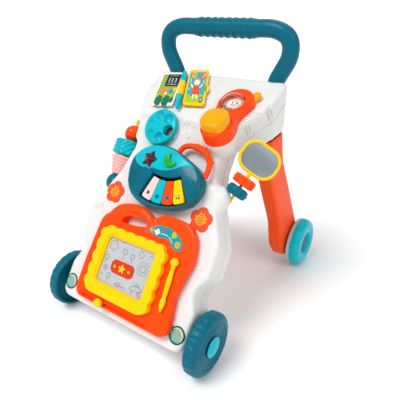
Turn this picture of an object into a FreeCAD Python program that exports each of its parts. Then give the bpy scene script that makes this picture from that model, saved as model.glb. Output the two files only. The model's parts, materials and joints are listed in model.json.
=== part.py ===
import FreeCAD, Part
import math
import os

# Baby push walker with an activity panel. Millimetres, +Z up, the child stands at +Y and pushes towards -Y.
# Everything is drawn with the front axle over Y = 0 and the ground at Z = 0, then moved by AXLE_Y when it
# is written, so that the origin is on the ground under the middle of the whole toy.

V = FreeCAD.Vector

# ---- driving dimensions -------------------------------------------------------------------------------
AXLE_Y = -163.5          # front axle in the finished frame
PANEL_SLOPE = 55.3       # the activity panel leans back by this many degrees from the ground
PANEL_FOOT = V(0, -26.4, 66.8)
CONSOLE_SLOPE = 26.8     # the console's face, above the panel
CONSOLE_FOOT = V(0, 145, 316)
WALL = 3.0               # shell walls
CLEAR = 0.4              # gap between pieces that move past each other
RUN = 0.05               # radial clearance of a shaft that turns in its hole
BODY_DEPTH = 50.0
SEAM_DEPTH = 26.0        # the two shells meet this far behind the panel's face
SINK = 30.0              # how far a solid is drawn on below the face it stands on, before it is trimmed

WHEEL_R = 46.2
FRONT_WHEEL_IN, FRONT_WHEEL_OUT = 128.0, 149.0
REAR_WHEEL_Y = 332.4
REAR_WHEEL_IN, REAR_WHEEL_OUT = 123.0, 148.0
AXLE_R = 3.0

LEG_IN, LEG_OUT = 94.0, 120.0
HANDLE_Y = 252.0
HANDLE_TOP = 436.0
HANDLE_HALF = 112.5
TUBE_R = 12.5
GRIP_HALF = 62.0

BOARD_TOP = 14.0
BOARD_FLOOR = 9.0
FRAME_TOP = 24.0
SLOT_S = -7.0

PIANO_TOP = 20.0
FAN_CENTRE = (15.0, 252.0)
FAN_TURN = -83.7         # direction of the fan's middle line, in degrees
FAN_IN, FAN_OUT = 59.0, 93.0
KEY_ANGLE = 12.3
KEY_NAMES = ("pink_key", "cyan_key", "orange_key", "yellow_key")

DISC = (-34.0, 274.5)
DISC_R = 29.5
ROLLER_X, ROLLER_N = -109.5, -22.0
STALK_FOOT = (101.5, 178.0)
STALK_DIR = (0.326, 0.945)
STALK_N = -20.0
STALK_R = 2.2
MIRROR_TURN = 34.0       # the mirror's face, turned about its stalk from the panel's face

PHONE_TOP = 12.0
BOOK_PIN_N = 5.6


# ---- drawing helpers ----------------------------------------------------------------------------------
def corner_arc(before, corner, after, radius):
    """The arc that rounds a corner, as (first point, middle point, last point)."""
    to_before = (before - corner).normalize()
    to_after = (after - corner).normalize()
    half = to_before.getAngle(to_after) / 2
    run = radius / math.tan(half)
    middle_line = (to_before + to_after).normalize()
    middle = corner + middle_line * (radius / math.sin(half) - radius)
    return corner + to_before * run, middle, corner + to_after * run


def outline(points):
    """A closed wire through corners given as (x, y, radius)."""
    corners = [V(p[0], p[1], 0) for p in points]
    count = len(corners)
    arcs = []
    for i in range(count):
        arcs.append(corner_arc(corners[i - 1], corners[i], corners[(i + 1) % count], points[i][2]))
    edges = []
    for i in range(count):
        edges.append(Part.Arc(*arcs[i]).toShape())
        start, end = arcs[i][2], arcs[(i + 1) % count][0]
        if (end - start).Length > 1e-4:
            edges.append(Part.LineSegment(start, end).toShape())
    return Part.Wire(edges)


def mirrored(half):
    """Corners of the right half, from the bottom up, and the same corners on the left."""
    return half + [(-x, y, r) for x, y, r in reversed(half)]


def plate(points, low, high):
    """A closed outline, from height low to height high."""
    body = Part.Face(outline(points)).extrude(V(0, 0, high - low))
    body.translate(V(0, 0, low))
    return body


def round_level(shape, height, radius):
    """Rounds every edge that lies flat at the given height."""
    edges = []
    for e in shape.Edges:
        if abs(e.BoundBox.ZMin - height) < 1e-4 and abs(e.BoundBox.ZMax - height) < 1e-4:
            edges.append(e)
    return shape.makeFillet(radius, edges)


def bar_outline(left, right, low, high, radius):
    """The four corners of a bar with one corner radius."""
    return [(left, low, radius), (right, low, radius), (right, high, radius), (left, high, radius)]


def pad(points, low, high, radius):
    """A plate with its upper edge rounded."""
    return round_level(plate(points, low, high), high, radius)


def disc(x, y, radius, low, high):
    return Part.makeCylinder(radius, high - low, V(x, y, low))


def rod(start, end, radius):
    return Part.makeCylinder(radius, (end - start).Length, start, end - start)


def turned(profile, start, direction):
    """A solid of revolution: profile corners are (distance along the axis, radius)."""
    face = Part.Face(Part.makePolygon([V(r, 0, a) for a, r in profile + profile[:1]]))
    solid = face.revolve(V(0, 0, 0), V(0, 0, 1), 360)
    solid.Placement = FreeCAD.Placement(start, FreeCAD.Rotation(V(0, 0, 1), direction))
    return solid


def arc_profile(a0, r0, radius, start, end, steps):
    """Points of a round stretch of a turned profile, about (a0, r0), angles in degrees."""
    points = []
    for i in range(steps + 1):
        t = math.radians(start + (end - start) * i / steps)
        points.append((a0 + radius * math.cos(t), r0 + radius * math.sin(t)))
    return points


def tube(points, radius, bore=0.0):
    """A round bar, or a pipe, along straight runs joined by tangent arcs. Points are (V, corner radius)."""
    edges = []
    last = points[0][0]
    for i in range(1, len(points) - 1):
        first, middle, end = corner_arc(points[i - 1][0], points[i][0], points[i + 1][0], points[i][1])
        if (first - last).Length > 1e-4:
            edges.append(Part.LineSegment(last, first).toShape())
        edges.append(Part.Arc(first, middle, end).toShape())
        last = end
    edges.append(Part.LineSegment(last, points[-1][0]).toShape())
    path = Part.Wire(edges)
    start = points[0][0]
    heading = points[1][0] - start
    bar = path.makePipeShell([Part.Wire([Part.makeCircle(radius, start, heading)])], True, True)
    if bore:
        bar = bar.cut(path.makePipeShell([Part.Wire([Part.makeCircle(bore, start, heading)])], True, True))
    return bar


def on_panel(shape):
    """From (across, up the slope, out of the face) to the toy."""
    placed = shape.copy()
    placed.Placement = FreeCAD.Placement(PANEL_FOOT, FreeCAD.Rotation(V(1, 0, 0), PANEL_SLOPE)).multiply(
        placed.Placement
    )
    return placed


def on_console(shape):
    placed = shape.copy()
    placed.Placement = FreeCAD.Placement(CONSOLE_FOOT, FreeCAD.Rotation(V(1, 0, 0), CONSOLE_SLOPE)).multiply(
        placed.Placement
    )
    return placed


def panel_point(x, s, n):
    turn = FreeCAD.Rotation(V(1, 0, 0), PANEL_SLOPE)
    return PANEL_FOOT + turn.multVec(V(x, s, n))


def console_point(x, s, n):
    turn = FreeCAD.Rotation(V(1, 0, 0), CONSOLE_SLOPE)
    return CONSOLE_FOOT + turn.multVec(V(x, s, n))


def panel_direction(x, s, n):
    return FreeCAD.Rotation(V(1, 0, 0), PANEL_SLOPE).multVec(V(x, s, n)).normalize()


def both_sides(shape):
    return Part.makeCompound([shape, shape.mirror(V(0, 0, 0), V(1, 0, 0))])


# ---- white body: two shells ----------------------------------------------------------------------------
PANEL_OUTLINE = [
    (122, -25, 16), (122, 32, 14), (107, 58, 22), (125, 84, 22), (125.5, 128, 34),
    (92, 192, 40), (80, 236, 40), (80, 272, 24), (90, 296, 9),
]
CONSOLE_PLAN = [(86, 104, 8), (90, 138, 14), (102, 155, 16), (121, 196, 30), (121, 240, 22), (104, 266, 18)]
CONSOLE_BACK = [(266, 352, 14), (262, 300, 14), (240, 288, 12)]


def panel_slab(inset):
    """The lower body: the panel's outline, BODY_DEPTH thick, or its inside when inset is the wall."""
    face = Part.Face(outline(mirrored(PANEL_OUTLINE)))
    if inset:
        face = face.makeOffset2D(-inset)
    slab = face.extrude(V(0, 0, 2 * inset - BODY_DEPTH))
    slab.translate(V(0, 0, -inset))
    if not inset:
        slab = round_level(slab, 0, 7)
        slab = round_level(slab, -BODY_DEPTH, 9)
    return on_panel(slab)


def console_side():
    """The console from the side, as (y, z, radius): it starts on the panel, and its face has a lip."""
    foot, ledge = panel_point(0, 244, 0), panel_point(0, 290, 0)
    lip, crest = console_point(0, -13.4, 0), console_point(0, 106, 0)
    front = [(foot.y, foot.z, 4), (ledge.y, ledge.z, 3), (lip.y, lip.z, 2.5), (crest.y, crest.z, 16)]
    return front + CONSOLE_BACK


def console_block(inset):
    """The console: its side profile, trimmed to its plan."""
    side = Part.Face(outline(console_side()))
    plan = Part.Face(outline(mirrored(CONSOLE_PLAN)))
    if inset:
        side = side.makeOffset2D(-inset)
        plan = plan.makeOffset2D(-inset)
    across = side.extrude(V(0, 0, 300))
    across.translate(V(0, 0, -150))
    across.Placement = FreeCAD.Placement(V(0, 0, 0), FreeCAD.Rotation(V(1, 1, 1), 120)).multiply(
        across.Placement
    )
    upright = plan.extrude(V(0, 0, 300))
    upright.translate(V(0, 0, 180))
    return across.common(upright)


def seam_side():
    """Everything in front of the seam between the two shells."""
    low = panel_point(0, -80, -SEAM_DEPTH)
    high = panel_point(0, 255, -SEAM_DEPTH)
    corners = [low, high, V(0, 156, 292), V(0, 232, 331), V(0, 244, 345), V(0, 244, 480)]
    corners += [V(0, -160, 480), V(0, -160, 0)]
    face = Part.Face(Part.makePolygon([V(-200, c.y, c.z) for c in corners + corners[:1]]))
    return face.extrude(V(400, 0, 0))


def disc_bay(inset):
    """The console's lip is cut back round the spinning disc."""
    return on_panel(disc(DISC[0], DISC[1], DISC_R + 2 + inset, -inset, SINK))


def body_solid():
    return panel_slab(0).fuse(console_block(0)).removeSplitter().cut(disc_bay(0))


def body_hollow():
    return panel_slab(WALL).fuse(console_block(WALL)).cut(disc_bay(WALL))


SCREWS = [(104, 24), (104, 106), (70, 192), (62, 262)]
SCREW_HEAD_N = -31.0


def screw_points():
    return [(side * x, s) for x, s in SCREWS for side in (-1, 1)]


def screw_bosses(low, high, radius):
    return Part.makeCompound([disc(x, s, radius, low, high) for x, s in screw_points()])


def fixed_rods():
    """What passes through the shells' walls."""
    return Part.makeCompound([front_axle(), handle(bore=0), roller_rod()])


def front_shell():
    shell = body_solid().cut(body_hollow()).common(seam_side())
    bosses = on_panel(screw_bosses(-SEAM_DEPTH, 1 - WALL, 4.5))
    pilots = on_panel(screw_bosses(-SEAM_DEPTH, -SEAM_DEPTH + 14, 1.6))
    return shell.fuse(bosses).cut(pilots).cut(fixed_rods())


def rear_shell():
    shell = body_solid().cut(body_hollow()).cut(seam_side())
    bosses = on_panel(screw_bosses(WALL - BODY_DEPTH, -SEAM_DEPTH, 5.5))
    wells = on_panel(screw_bosses(-BODY_DEPTH, SCREW_HEAD_N, 4.0))
    holes = on_panel(screw_bosses(SCREW_HEAD_N, -SEAM_DEPTH, 1.6))
    return shell.fuse(bosses).cut(wells).cut(holes).cut(fixed_rods())


def screws():
    heads = screw_bosses(SCREW_HEAD_N - 2.4, SCREW_HEAD_N, 3.6)
    shanks = screw_bosses(SCREW_HEAD_N, -SEAM_DEPTH + 13.5, 1.6)
    whole = [h.fuse(s) for h, s in zip(heads.Solids, shanks.Solids)]
    return on_panel(Part.makeCompound(whole))


# ---- wheels, axles, legs -------------------------------------------------------------------------------
BORE_R = AXLE_R + RUN
TYRE_WALL = 4.0
RIM_WIDTH = 8.0          # the pale rim on the inner side of each rear wheel
RIM_FLANGE = 9.0          # how far the rim reaches in from the tread
HUB_SINK = 8.0           # the rear hubs lie this far in from the wheel's outer face


def front_wheel(side):
    """Open on its inner side. Axis distances start at the inner face."""
    width, radius, shoulder = FRONT_WHEEL_OUT - FRONT_WHEEL_IN, WHEEL_R, 13
    profile = [(0, BORE_R), (0, 9), (width - 7, 10), (width - 5, radius - 9)]
    profile += [(0, radius - TYRE_WALL), (0, radius - 1), (1, radius)]
    profile += arc_profile(width - shoulder, radius - shoulder, shoulder, 90, 0, 8)
    profile += [(width, 15.3), (width - 1, 15.3), (width - 1, 6.5), (width - 5, 6.5), (width - 5, BORE_R)]
    return turned(profile, V(side * FRONT_WHEEL_IN, 0, WHEEL_R), V(side, 0, 0))


def front_cap(side):
    """A domed cap with a straight rim."""
    dome = arc_profile(-24.3, 0, 28.8, 31, 0, 8)
    profile = [(0, 0), (0, 15), (1.2, 15), (1.2, 14.2)] + dome[1:-1] + [(4.5, 0)]
    return turned(profile, V(side * (FRONT_WHEEL_OUT - 1), 0, WHEEL_R), V(side, 0, 0))


def front_axle():
    bar = rod(V(-146.8, 0, WHEEL_R), V(146.8, 0, WHEEL_R), AXLE_R)
    heads = [rod(V(side * 144.3, 0, WHEEL_R), V(side * 146.8, 0, WHEEL_R), 5.5) for side in (-1, 1)]
    return bar.fuse(heads).removeSplitter()


def rear_wheel(side):
    """The tyre and hub: its inner edge stands on the pale rim."""
    width, radius, shoulder = REAR_WHEEL_OUT - REAR_WHEEL_IN, WHEEL_R, 12
    hub = width - HUB_SINK
    profile = [(0, BORE_R), (0, 9), (hub - 7, 10), (hub - 3, 22), (hub - 3, radius - 12)]
    profile += [(RIM_WIDTH, radius - TYRE_WALL), (RIM_WIDTH, radius)]
    profile += arc_profile(width - shoulder, radius - shoulder, shoulder, 90, 0, 8)
    profile += [(width, 24), (width - 3, 20), (hub, 18), (hub, 6.5), (hub - 5, 6.5), (hub - 5, BORE_R)]
    return turned(profile, V(side * REAR_WHEEL_IN, REAR_WHEEL_Y, WHEEL_R), V(side, 0, 0))


def rear_ring(side):
    """The pale rim that closes the tyre's inner edge."""
    radius = WHEEL_R
    profile = [(0, radius - RIM_FLANGE), (0, radius - 4), (1, radius - 2), (3, radius - 0.6)]
    profile += [(RIM_WIDTH, radius - 0.2), (RIM_WIDTH, radius - TYRE_WALL), (2, radius - RIM_FLANGE)]
    return turned(profile, V(side * REAR_WHEEL_IN, REAR_WHEEL_Y, WHEEL_R), V(side, 0, 0))


def rear_cap(side):
    profile = [(0, 0), (0, 14), (2.5, 14), (4.2, 12.5), (4.8, 7), (5, 0)]
    start = V(side * (REAR_WHEEL_OUT - HUB_SINK), REAR_WHEEL_Y, WHEEL_R)
    return turned(profile, start, V(side, 0, 0))


def rear_axle(side):
    centre = V(0, REAR_WHEEL_Y, WHEEL_R)
    across = V(side, 0, 0)
    head = rod(centre + across * (LEG_IN - 2.5), centre + across * LEG_IN, 6.5)
    bar = rod(centre + across * LEG_IN, centre + across * 139.8, AXLE_R)
    end = rod(centre + across * 137.3, centre + across * 139.8, 5.5)
    return bar.fuse([head, end]).removeSplitter()


LEG_SIDE = [
    (194, 296, 3), (201, 225, 50), (259, 112, 90), (272, 56, 26), (296, 25, 20), (340, 25, 22),
    (354, 62, 24), (294, 168, 160), (252, 240, 90), (240, 296, 3),
]


def leg(side):
    width = LEG_OUT - LEG_IN
    face = Part.Face(outline(LEG_SIDE))
    block = plate(LEG_SIDE, 0, width)
    block = round_level(block, width, 5)
    block = round_level(block, 0, 2.5)
    inside = face.makeOffset2D(-WALL).extrude(V(0, 0, width - 2 * WALL))
    inside.translate(V(0, 0, WALL))
    boss = disc(REAR_WHEEL_Y, WHEEL_R, 8, 0, width)
    shell = block.cut(inside.cut(boss))
    placement = FreeCAD.Placement(V(LEG_IN, 0, 0), FreeCAD.Rotation(V(1, 1, 1), 120))
    shell.Placement = placement
    if side < 0:
        shell = shell.mirror(V(0, 0, 0), V(1, 0, 0))
    trimmed = shell.cut(body_solid()).cut(rear_axle(side))
    return largest(trimmed)


def largest(shape):
    return max(shape.Solids, key=lambda s: s.Volume)


# ---- push handle ---------------------------------------------------------------------------------------
def handle(bore=TUBE_R - 2.5):
    """The push handle's pipe: its feet stand in the console and it bends outwards before the top bar."""
    half = [
        (V(92, HANDLE_Y, 318), 0), (V(93, HANDLE_Y, 364), 24), (V(HANDLE_HALF, HANDLE_Y, 396), 24),
        (V(HANDLE_HALF, HANDLE_Y, HANDLE_TOP), 24),
    ]
    other = [(V(-p.x, p.y, p.z), r) for p, r in reversed(half)]
    return tube(half + other, TUBE_R, bore)


def grip():
    """A sleeve with seven raised ribs."""
    profile = [(0, TUBE_R), (0, 14.2), (2, 15)]
    for k in range(7):
        middle = GRIP_HALF + 18 * (k - 3)
        profile += [(middle - 6, 15), (middle - 4, 16), (middle + 4, 16), (middle + 6, 15)]
    end = 2 * GRIP_HALF
    profile += [(end - 2, 15), (end, 14.2), (end, TUBE_R)]
    return turned(profile, V(-GRIP_HALF, HANDLE_Y, HANDLE_TOP), V(1, 0, 0))


# ---- drawing board -------------------------------------------------------------------------------------
BOARD_OUTLINE = [
    (-83, -12, 14), (101, -12, 15), (91, 46, 44), (101, 98, 36), (93, 146, 36), (32, 149, 26),
    (13, 134, 10), (3, 144, 12), (-42, 146, 30), (-80, 116, 22), (-84, 45, 60),
]
BOARD_HOLE = [(-42, 117, 3.5), (-28, 127, 6), (2, 129.5, 5), (7.5, 122.5, 3), (-8, 118.5, 20)]
FRAME_MIDDLE = (0.0, 58.5)
FRAME_HALF = (62.0, 49.5)
WINDOW = (-45, 45, 22.5, 91, 4)
SCREEN = (-50, 50, 18, 95.5, 4)
SCREEN_THICK = 3.0
PEN_HEAD, PEN_TIP, PEN_N = (77.0, 90.0), (80.0, 20.0), 17.5
KNOB = (-26.0, SLOT_S)


def board_body():
    board = pad(BOARD_OUTLINE, CLEAR, BOARD_TOP, 4)
    inside = Part.Face(outline(BOARD_OUTLINE)).makeOffset2D(-WALL).extrude(V(0, 0, BOARD_FLOOR - CLEAR))
    inside.translate(V(0, 0, CLEAR))
    rim = plate(BOARD_HOLE, CLEAR, BOARD_TOP)
    around = Part.Face(outline(BOARD_HOLE)).makeOffset2D(WALL).extrude(V(0, 0, BOARD_TOP))
    board = board.cut(inside.cut(around)).cut(rim)
    track = plate(bar_outline(-71, 65, SLOT_S - 6, SLOT_S + 6, 5), 12, BOARD_TOP)
    slot = plate(bar_outline(-66, 60, SLOT_S - 2, SLOT_S + 2, 1.5), 8, 13)
    return on_panel(board.cut(track).cut(slot)).cut(pen_groove())


def board_back():
    """The plate that closes the board from behind."""
    back = Part.Face(outline(BOARD_OUTLINE)).makeOffset2D(-WALL - 0.1).extrude(V(0, 0, 2.2))
    back.translate(V(0, 0, CLEAR))
    around = Part.Face(outline(BOARD_HOLE)).makeOffset2D(WALL + 0.1).extrude(V(0, 0, BOARD_TOP))
    return on_panel(back.cut(around))


def scalloped(offset):
    """The frame's wavy outline: a rounded rectangle with an even wave, nearly flat along its lower side."""
    hx, hy = FRAME_HALF
    count = 160
    points = []
    for i in range(count):
        t = 2 * math.pi * i / count
        power = 0.42
        x = hx * math.copysign(abs(math.cos(t)) ** power, math.cos(t))
        y = hy * math.copysign(abs(math.sin(t)) ** power, math.sin(t))
        height = (y + hy) / (2 * hy)
        wave = 1.4 * min(1.0, 0.15 + 1.6 * height) * math.cos(20 * math.atan2(y / hy, x / hx))
        grow = 1 + (wave + offset) / math.hypot(x, y)
        points.append(V(FRAME_MIDDLE[0] + x * grow, FRAME_MIDDLE[1] + y * grow, 0))
    curve = Part.BSplineCurve()
    curve.interpolate(Points=points, PeriodicFlag=True)
    return Part.Face(Part.Wire([curve.toShape()]))


def board_frame():
    low = scalloped(0).extrude(V(0, 0, FRAME_TOP - BOARD_TOP - 2.5))
    low.translate(V(0, 0, BOARD_TOP))
    high = scalloped(-2.0).extrude(V(0, 0, 2.5))
    high.translate(V(0, 0, FRAME_TOP - 2.5))
    frame = low.fuse(high)
    bed = plate(bar_outline(*SCREEN), BOARD_TOP, BOARD_TOP + SCREEN_THICK)
    window = plate(bar_outline(*WINDOW), BOARD_TOP, FRAME_TOP + 1)
    return on_panel(frame.cut(bed).cut(window))


def draw_screen():
    return on_panel(plate(bar_outline(*SCREEN), BOARD_TOP, BOARD_TOP + SCREEN_THICK))


def eraser_slider():
    """The knob, its neck through the slot and the magnet bar under the screen."""
    knob = round_level(disc(KNOB[0], KNOB[1], 6.5, BOARD_TOP + 0.6, 23), 23, 3.5)
    left, right = KNOB[0] - 4, KNOB[0] + 4
    neck = plate(bar_outline(left, right, SLOT_S - 1.6, SLOT_S + 1.6, 1), 6, BOARD_TOP + 1)
    bar = plate(bar_outline(left, right, SLOT_S - 1, 100, 1), 4, 8.5)
    return on_panel(knob.fuse(neck).fuse(bar))


def pen_groove():
    """The hollow in the board that the pen lies in."""
    head, tip = panel_point(*PEN_HEAD, PEN_N), panel_point(*PEN_TIP, PEN_N)
    return rod(head, tip, 4.8).fuse(Part.makeSphere(6.9, head))


def pen():
    """A magnetic pen with a ball head."""
    head = panel_point(*PEN_HEAD, PEN_N)
    heading = panel_point(*PEN_TIP, PEN_N) - head
    length = heading.Length
    profile = arc_profile(0, 0, 6.3, 180, 35, 8)
    profile[0] = (-6.3, 0)
    profile += [(9, 2.8), (28, 4.0), (50, 3.0), (54, 4.2), (59, 4.2), (length - 1.5, 1.6), (length - 0.5, 0)]
    return turned(profile, head, heading)


# ---- keyboard ------------------------------------------------------------------------------------------
PIANO_OUTLINE = [
    (-34, 151, 30), (56, 151, 38), (86, 180, 26), (86, 214, 20), (58, 229, 24), (24, 245.5, 24),
    (-20, 246.5, 26), (-49, 220, 34), (-50, 176, 34),
]
CAP_OUTLINE = [
    (-33, 221, 5), (-14, 208, 14), (11, 204.5, 40), (40, 216, 30), (56, 225, 4), (24, 240.5, 24),
    (-21, 244, 22),
]
STAR, MOON = (-16.0, 216.0), (21.0, 224.0)


def fan_point(radius, degrees):
    t = math.radians(FAN_TURN + degrees)
    return FAN_CENTRE[0] + radius * math.cos(t), FAN_CENTRE[1] + radius * math.sin(t)


def fan_patch(inner, outer, start, end, corner):
    """A four-sided piece of the fan, as corners with a radius."""
    ring = [(inner, start), (outer, start), (outer, end), (inner, end)]
    return [fan_point(r, a) + (corner,) for r, a in ring]


def key_well():
    """The fan-shaped opening round the keys."""
    ring = disc(*FAN_CENTRE, FAN_OUT + 2, 5, PIANO_TOP + 1)
    ring = ring.cut(disc(*FAN_CENTRE, FAN_IN - 2, 4, PIANO_TOP + 2))
    wedge = [V(*fan_point(r, a), 4) for r, a in ((0, 0), (150, -26), (150, 26), (0, 0))]
    return ring.common(Part.Face(Part.makePolygon(wedge)).extrude(V(0, 0, PIANO_TOP)))


def piano_base():
    base = pad(PIANO_OUTLINE, CLEAR, PIANO_TOP, 5)
    inside = Part.Face(outline(PIANO_OUTLINE)).makeOffset2D(-2.5).extrude(V(0, 0, PIANO_TOP - 2.5 - CLEAR))
    inside.translate(V(0, 0, CLEAR))
    return on_panel(base.cut(inside).cut(key_well())).cut(piano_ring())


def battery_cover():
    cover = Part.Face(outline(PIANO_OUTLINE)).makeOffset2D(-2.6).extrude(V(0, 0, 2))
    cover.translate(V(0, 0, CLEAR))
    return on_panel(cover)


def star_outline(centre, outer, inner, turn):
    points = []
    for k in range(10):
        t = math.radians(turn + 36 * k)
        radius = outer if k % 2 == 0 else inner
        points.append((centre[0] + radius * math.cos(t), centre[1] + radius * math.sin(t), 1.0))
    return points


def star_lens():
    return on_panel(plate(star_outline(STAR, 11.5, 6.2, 100), PIANO_TOP, PIANO_TOP + 6))


def crescent(grow):
    big = disc(MOON[0], MOON[1], 9 + grow, PIANO_TOP + 1.9, PIANO_TOP + 6)
    bite = disc(MOON[0] + 5.5, MOON[1] + 5.5, 8.5 - grow, PIANO_TOP + 1, PIANO_TOP + 7)
    return big.cut(bite)


def moon_button():
    return on_panel(crescent(0))


def piano_top():
    cap = pad(CAP_OUTLINE, PIANO_TOP, PIANO_TOP + 4, 2)
    hole = crescent(CLEAR)
    hole.translate(V(0, 0, -1.9))
    return on_panel(cap.cut(hole)).cut(star_lens())


def key(index):
    middle = KEY_ANGLE * (index - 1.5)
    return on_panel(pad(fan_patch(FAN_IN, FAN_OUT, middle - 5.7, middle + 5.7, 3), 12, PIANO_TOP + 1, 1.5))


def key_mat():
    sheet = plate(bar_outline(-12, 55, 170, 190, 3), 4.8, 6)
    domes = []
    for index in range(4):
        x, s = fan_point(80, KEY_ANGLE * (index - 1.5))
        domes.append(Part.makeCone(4.5, 2.5, 3.2, V(x, s, 6)))
    return on_panel(sheet.fuse(domes).removeSplitter())


def circuit_board():
    return on_panel(plate([(-16, 164, 2), (52, 164, 2), (58, 198, 2), (-16, 198, 2)], 3, 4.6))


def speaker():
    cone = turned([(0, 0), (0, 12), (3, 12), (7, 7), (9, 7), (9, 0)], V(-33, 188, 4), V(0, 0, 1))
    return on_panel(cone)


def batteries():
    cells = []
    for s in (210.5, 225.5):
        cell = rod(V(-30, s, 9.9), V(19, s, 9.9), 7.1)
        tip = rod(V(19, s, 9.9), V(20.4, s, 9.9), 2.7)
        cells.append(cell.fuse(tip).removeSplitter())
    return on_panel(Part.makeCompound(cells))


def piano_ring():
    points = [(17, 237, 0), (20, 252, 9), (50, 254, 20), (79, 237, 14), (73, 214, 0)]
    return on_panel(tube([(V(x, s, 12), r) for x, s, r in points], 4.2))


# ---- small toys on the panel ---------------------------------------------------------------------------
WELL_RADII = (8.0, 7.2, 6.0, 4.6, 5.4, 6.6)


def spin_disc():
    x, s = DISC
    wheel = round_level(disc(x, s, DISC_R, 1.5, 12), 12, 4)
    for k, radius in enumerate(WELL_RADII):
        t = math.radians(-12 + 60 * k)
        low = 1 if k == 0 else 6
        wheel = wheel.cut(disc(x + 19.5 * math.cos(t), s + 19.5 * math.sin(t), radius, low, 13))
    return on_panel(wheel.cut(disc(x, s, 4 + RUN, 1, 10)))


def disc_spindle():
    """The pin that the disc turns on, with the picture plate under it."""
    x, s = DISC
    return on_panel(disc(x, s, 27, 0, 1.1).fuse(disc(x, s, 4, 1.1, 9.6)).removeSplitter())


BADGE_TOP = 0.25


def flower_badges():
    """Flat five-lobed badges on the hips."""
    lobes = []
    for k in range(5):
        for degrees, radius, corner in ((-20, 20.0, 5.5), (20, 20.0, 5.5), (36, 12.5, 1.5)):
            t = math.radians(18 + 72 * k + degrees)
            lobes.append((84 + radius * math.cos(t), 157 + radius * math.sin(t), corner))
    return both_sides(on_panel(plate(lobes, -4, BADGE_TOP)).cut(body_solid()))


def headlight_badges():
    return both_sides(on_panel(disc(108, 0, 13, -5, BADGE_TOP)).cut(body_solid()))


# ---- rollers on the left -------------------------------------------------------------------------------
def roller_point(s):
    return panel_point(ROLLER_X, s, ROLLER_N)


def roller_rod():
    return rod(roller_point(150), roller_point(300), 3.5)


def roller(profile, start):
    """A roller turned about the rod; the profile's distances start at the given height on the panel."""
    bore = 3.5 + RUN
    length = profile[-1][0]
    return turned([(0, bore)] + profile + [(length, bore)], roller_point(start), panel_direction(0, 1, 0))


def orange_ball():
    radius, flat = 15.0, 14.0
    return roller([(flat + a, r) for a, r in arc_profile(0, 0, radius, 159, 21, 12)], 261 - flat)


def ribbed_roller():
    profile = [(0, 20), (1, 22)]
    for k in range(6):
        profile += [(2 + 4 * k, 23), (4 + 4 * k, 23), (5 + 4 * k, 22.3)]
    return roller(profile + [(26, 20)], 220.6)


def cone_roller():
    profile = [(0, 13)]
    for k in range(6):
        radius = 14.3 + 1.45 * k
        start = 5 * k
        profile += [(start + 1, radius - 1), (start + 2, radius)]
        profile += [(start + 4, radius), (start + 5, radius - 1)]
    return roller(profile + [(31, 19)], 187)


def dome_end():
    """The rod's lower mount, seated on the hip."""
    profile = [(-17, 0)] + arc_profile(0, 0, 17, 165, 35, 10) + [(9.7, 0)]
    dome = turned(profile, roller_point(173), panel_direction(0, 1, 0))
    return largest(dome.cut(body_solid()).cut(roller_rod()))


# ---- mirror and beads on the right ---------------------------------------------------------------------
def stalk_point(along):
    return panel_point(STALK_FOOT[0] + STALK_DIR[0] * along, STALK_FOOT[1] + STALK_DIR[1] * along, STALK_N)


def stalk_direction():
    return panel_direction(STALK_DIR[0], STALK_DIR[1], 0)


def mirror_stalk():
    bar = rod(stalk_point(-12), stalk_point(71), STALK_R)
    collar = rod(stalk_point(45.2), stalk_point(45.6), 5)
    return largest(bar.fuse(collar).cut(body_solid()))


def ring_bead():
    bore = STALK_R + RUN
    profile = [(0, bore), (0, 8)] + arc_profile(9, 10, 9, 170, 10, 10) + [(18, 8), (18, bore)]
    return turned(profile, stalk_point(26.8), stalk_direction())


def gear_bead():
    """A bead with nine soft teeth."""
    points = []
    for k in range(18):
        t = math.radians(20 * k)
        radius = 20.0 if k % 2 == 0 else 14.5
        points.append((radius * math.cos(t), radius * math.sin(t), 1.5))
    bead = pad(points, 0, 14, 1.2).cut(disc(0, 0, STALK_R + RUN, -1, 15))
    bead.Placement = FreeCAD.Placement(stalk_point(46), FreeCAD.Rotation(V(0, 0, 1), stalk_direction()))
    return bead


def mirror_place(shape):
    """From (across the mirror, along the stalk, out of the glass) to the toy."""
    along = stalk_direction()
    turn = FreeCAD.Rotation(along, MIRROR_TURN)
    face = turn.multVec(panel_direction(0, 0, 1))
    placed = shape.copy()
    rotation = FreeCAD.Rotation(along.cross(face), along, face, "ZYX")
    placed.Placement = FreeCAD.Placement(stalk_point(89.5), rotation).multiply(placed.Placement)
    return placed


MIRROR_OUTLINE = bar_outline(-31, 31, -26, 26, 24)


def mirror_frame():
    frame = round_level(pad(MIRROR_OUTLINE, -3.5, 3.5, 2), -3.5, 3)
    glass = Part.Face(outline(MIRROR_OUTLINE)).makeOffset2D(-2.5).extrude(V(0, 0, 2))
    glass.translate(V(0, 0, 2.5))
    return mirror_place(frame.cut(glass)).cut(rod(stalk_point(60), stalk_point(71.4), STALK_R + RUN))


def mirror_glass():
    glass = Part.Face(outline(MIRROR_OUTLINE)).makeOffset2D(-2.5).extrude(V(0, 0, 0.9))
    glass.translate(V(0, 0, 2.5))
    return mirror_place(glass)


# ---- toys on the console -------------------------------------------------------------------------------
PHONE_OUTLINE = [
    (42, -52, 24), (100, -52, 24), (91, 3, 30), (104.5, 60, 26), (37.5, 60, 26), (51, 3, 30),
]
BUTTON = (52, 90, -42, -4, 13)
DOME = (70.0, 28.0)
LEAN = math.radians(PANEL_SLOPE - CONSOLE_SLOPE)   # between the console's face and the panel's


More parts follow.
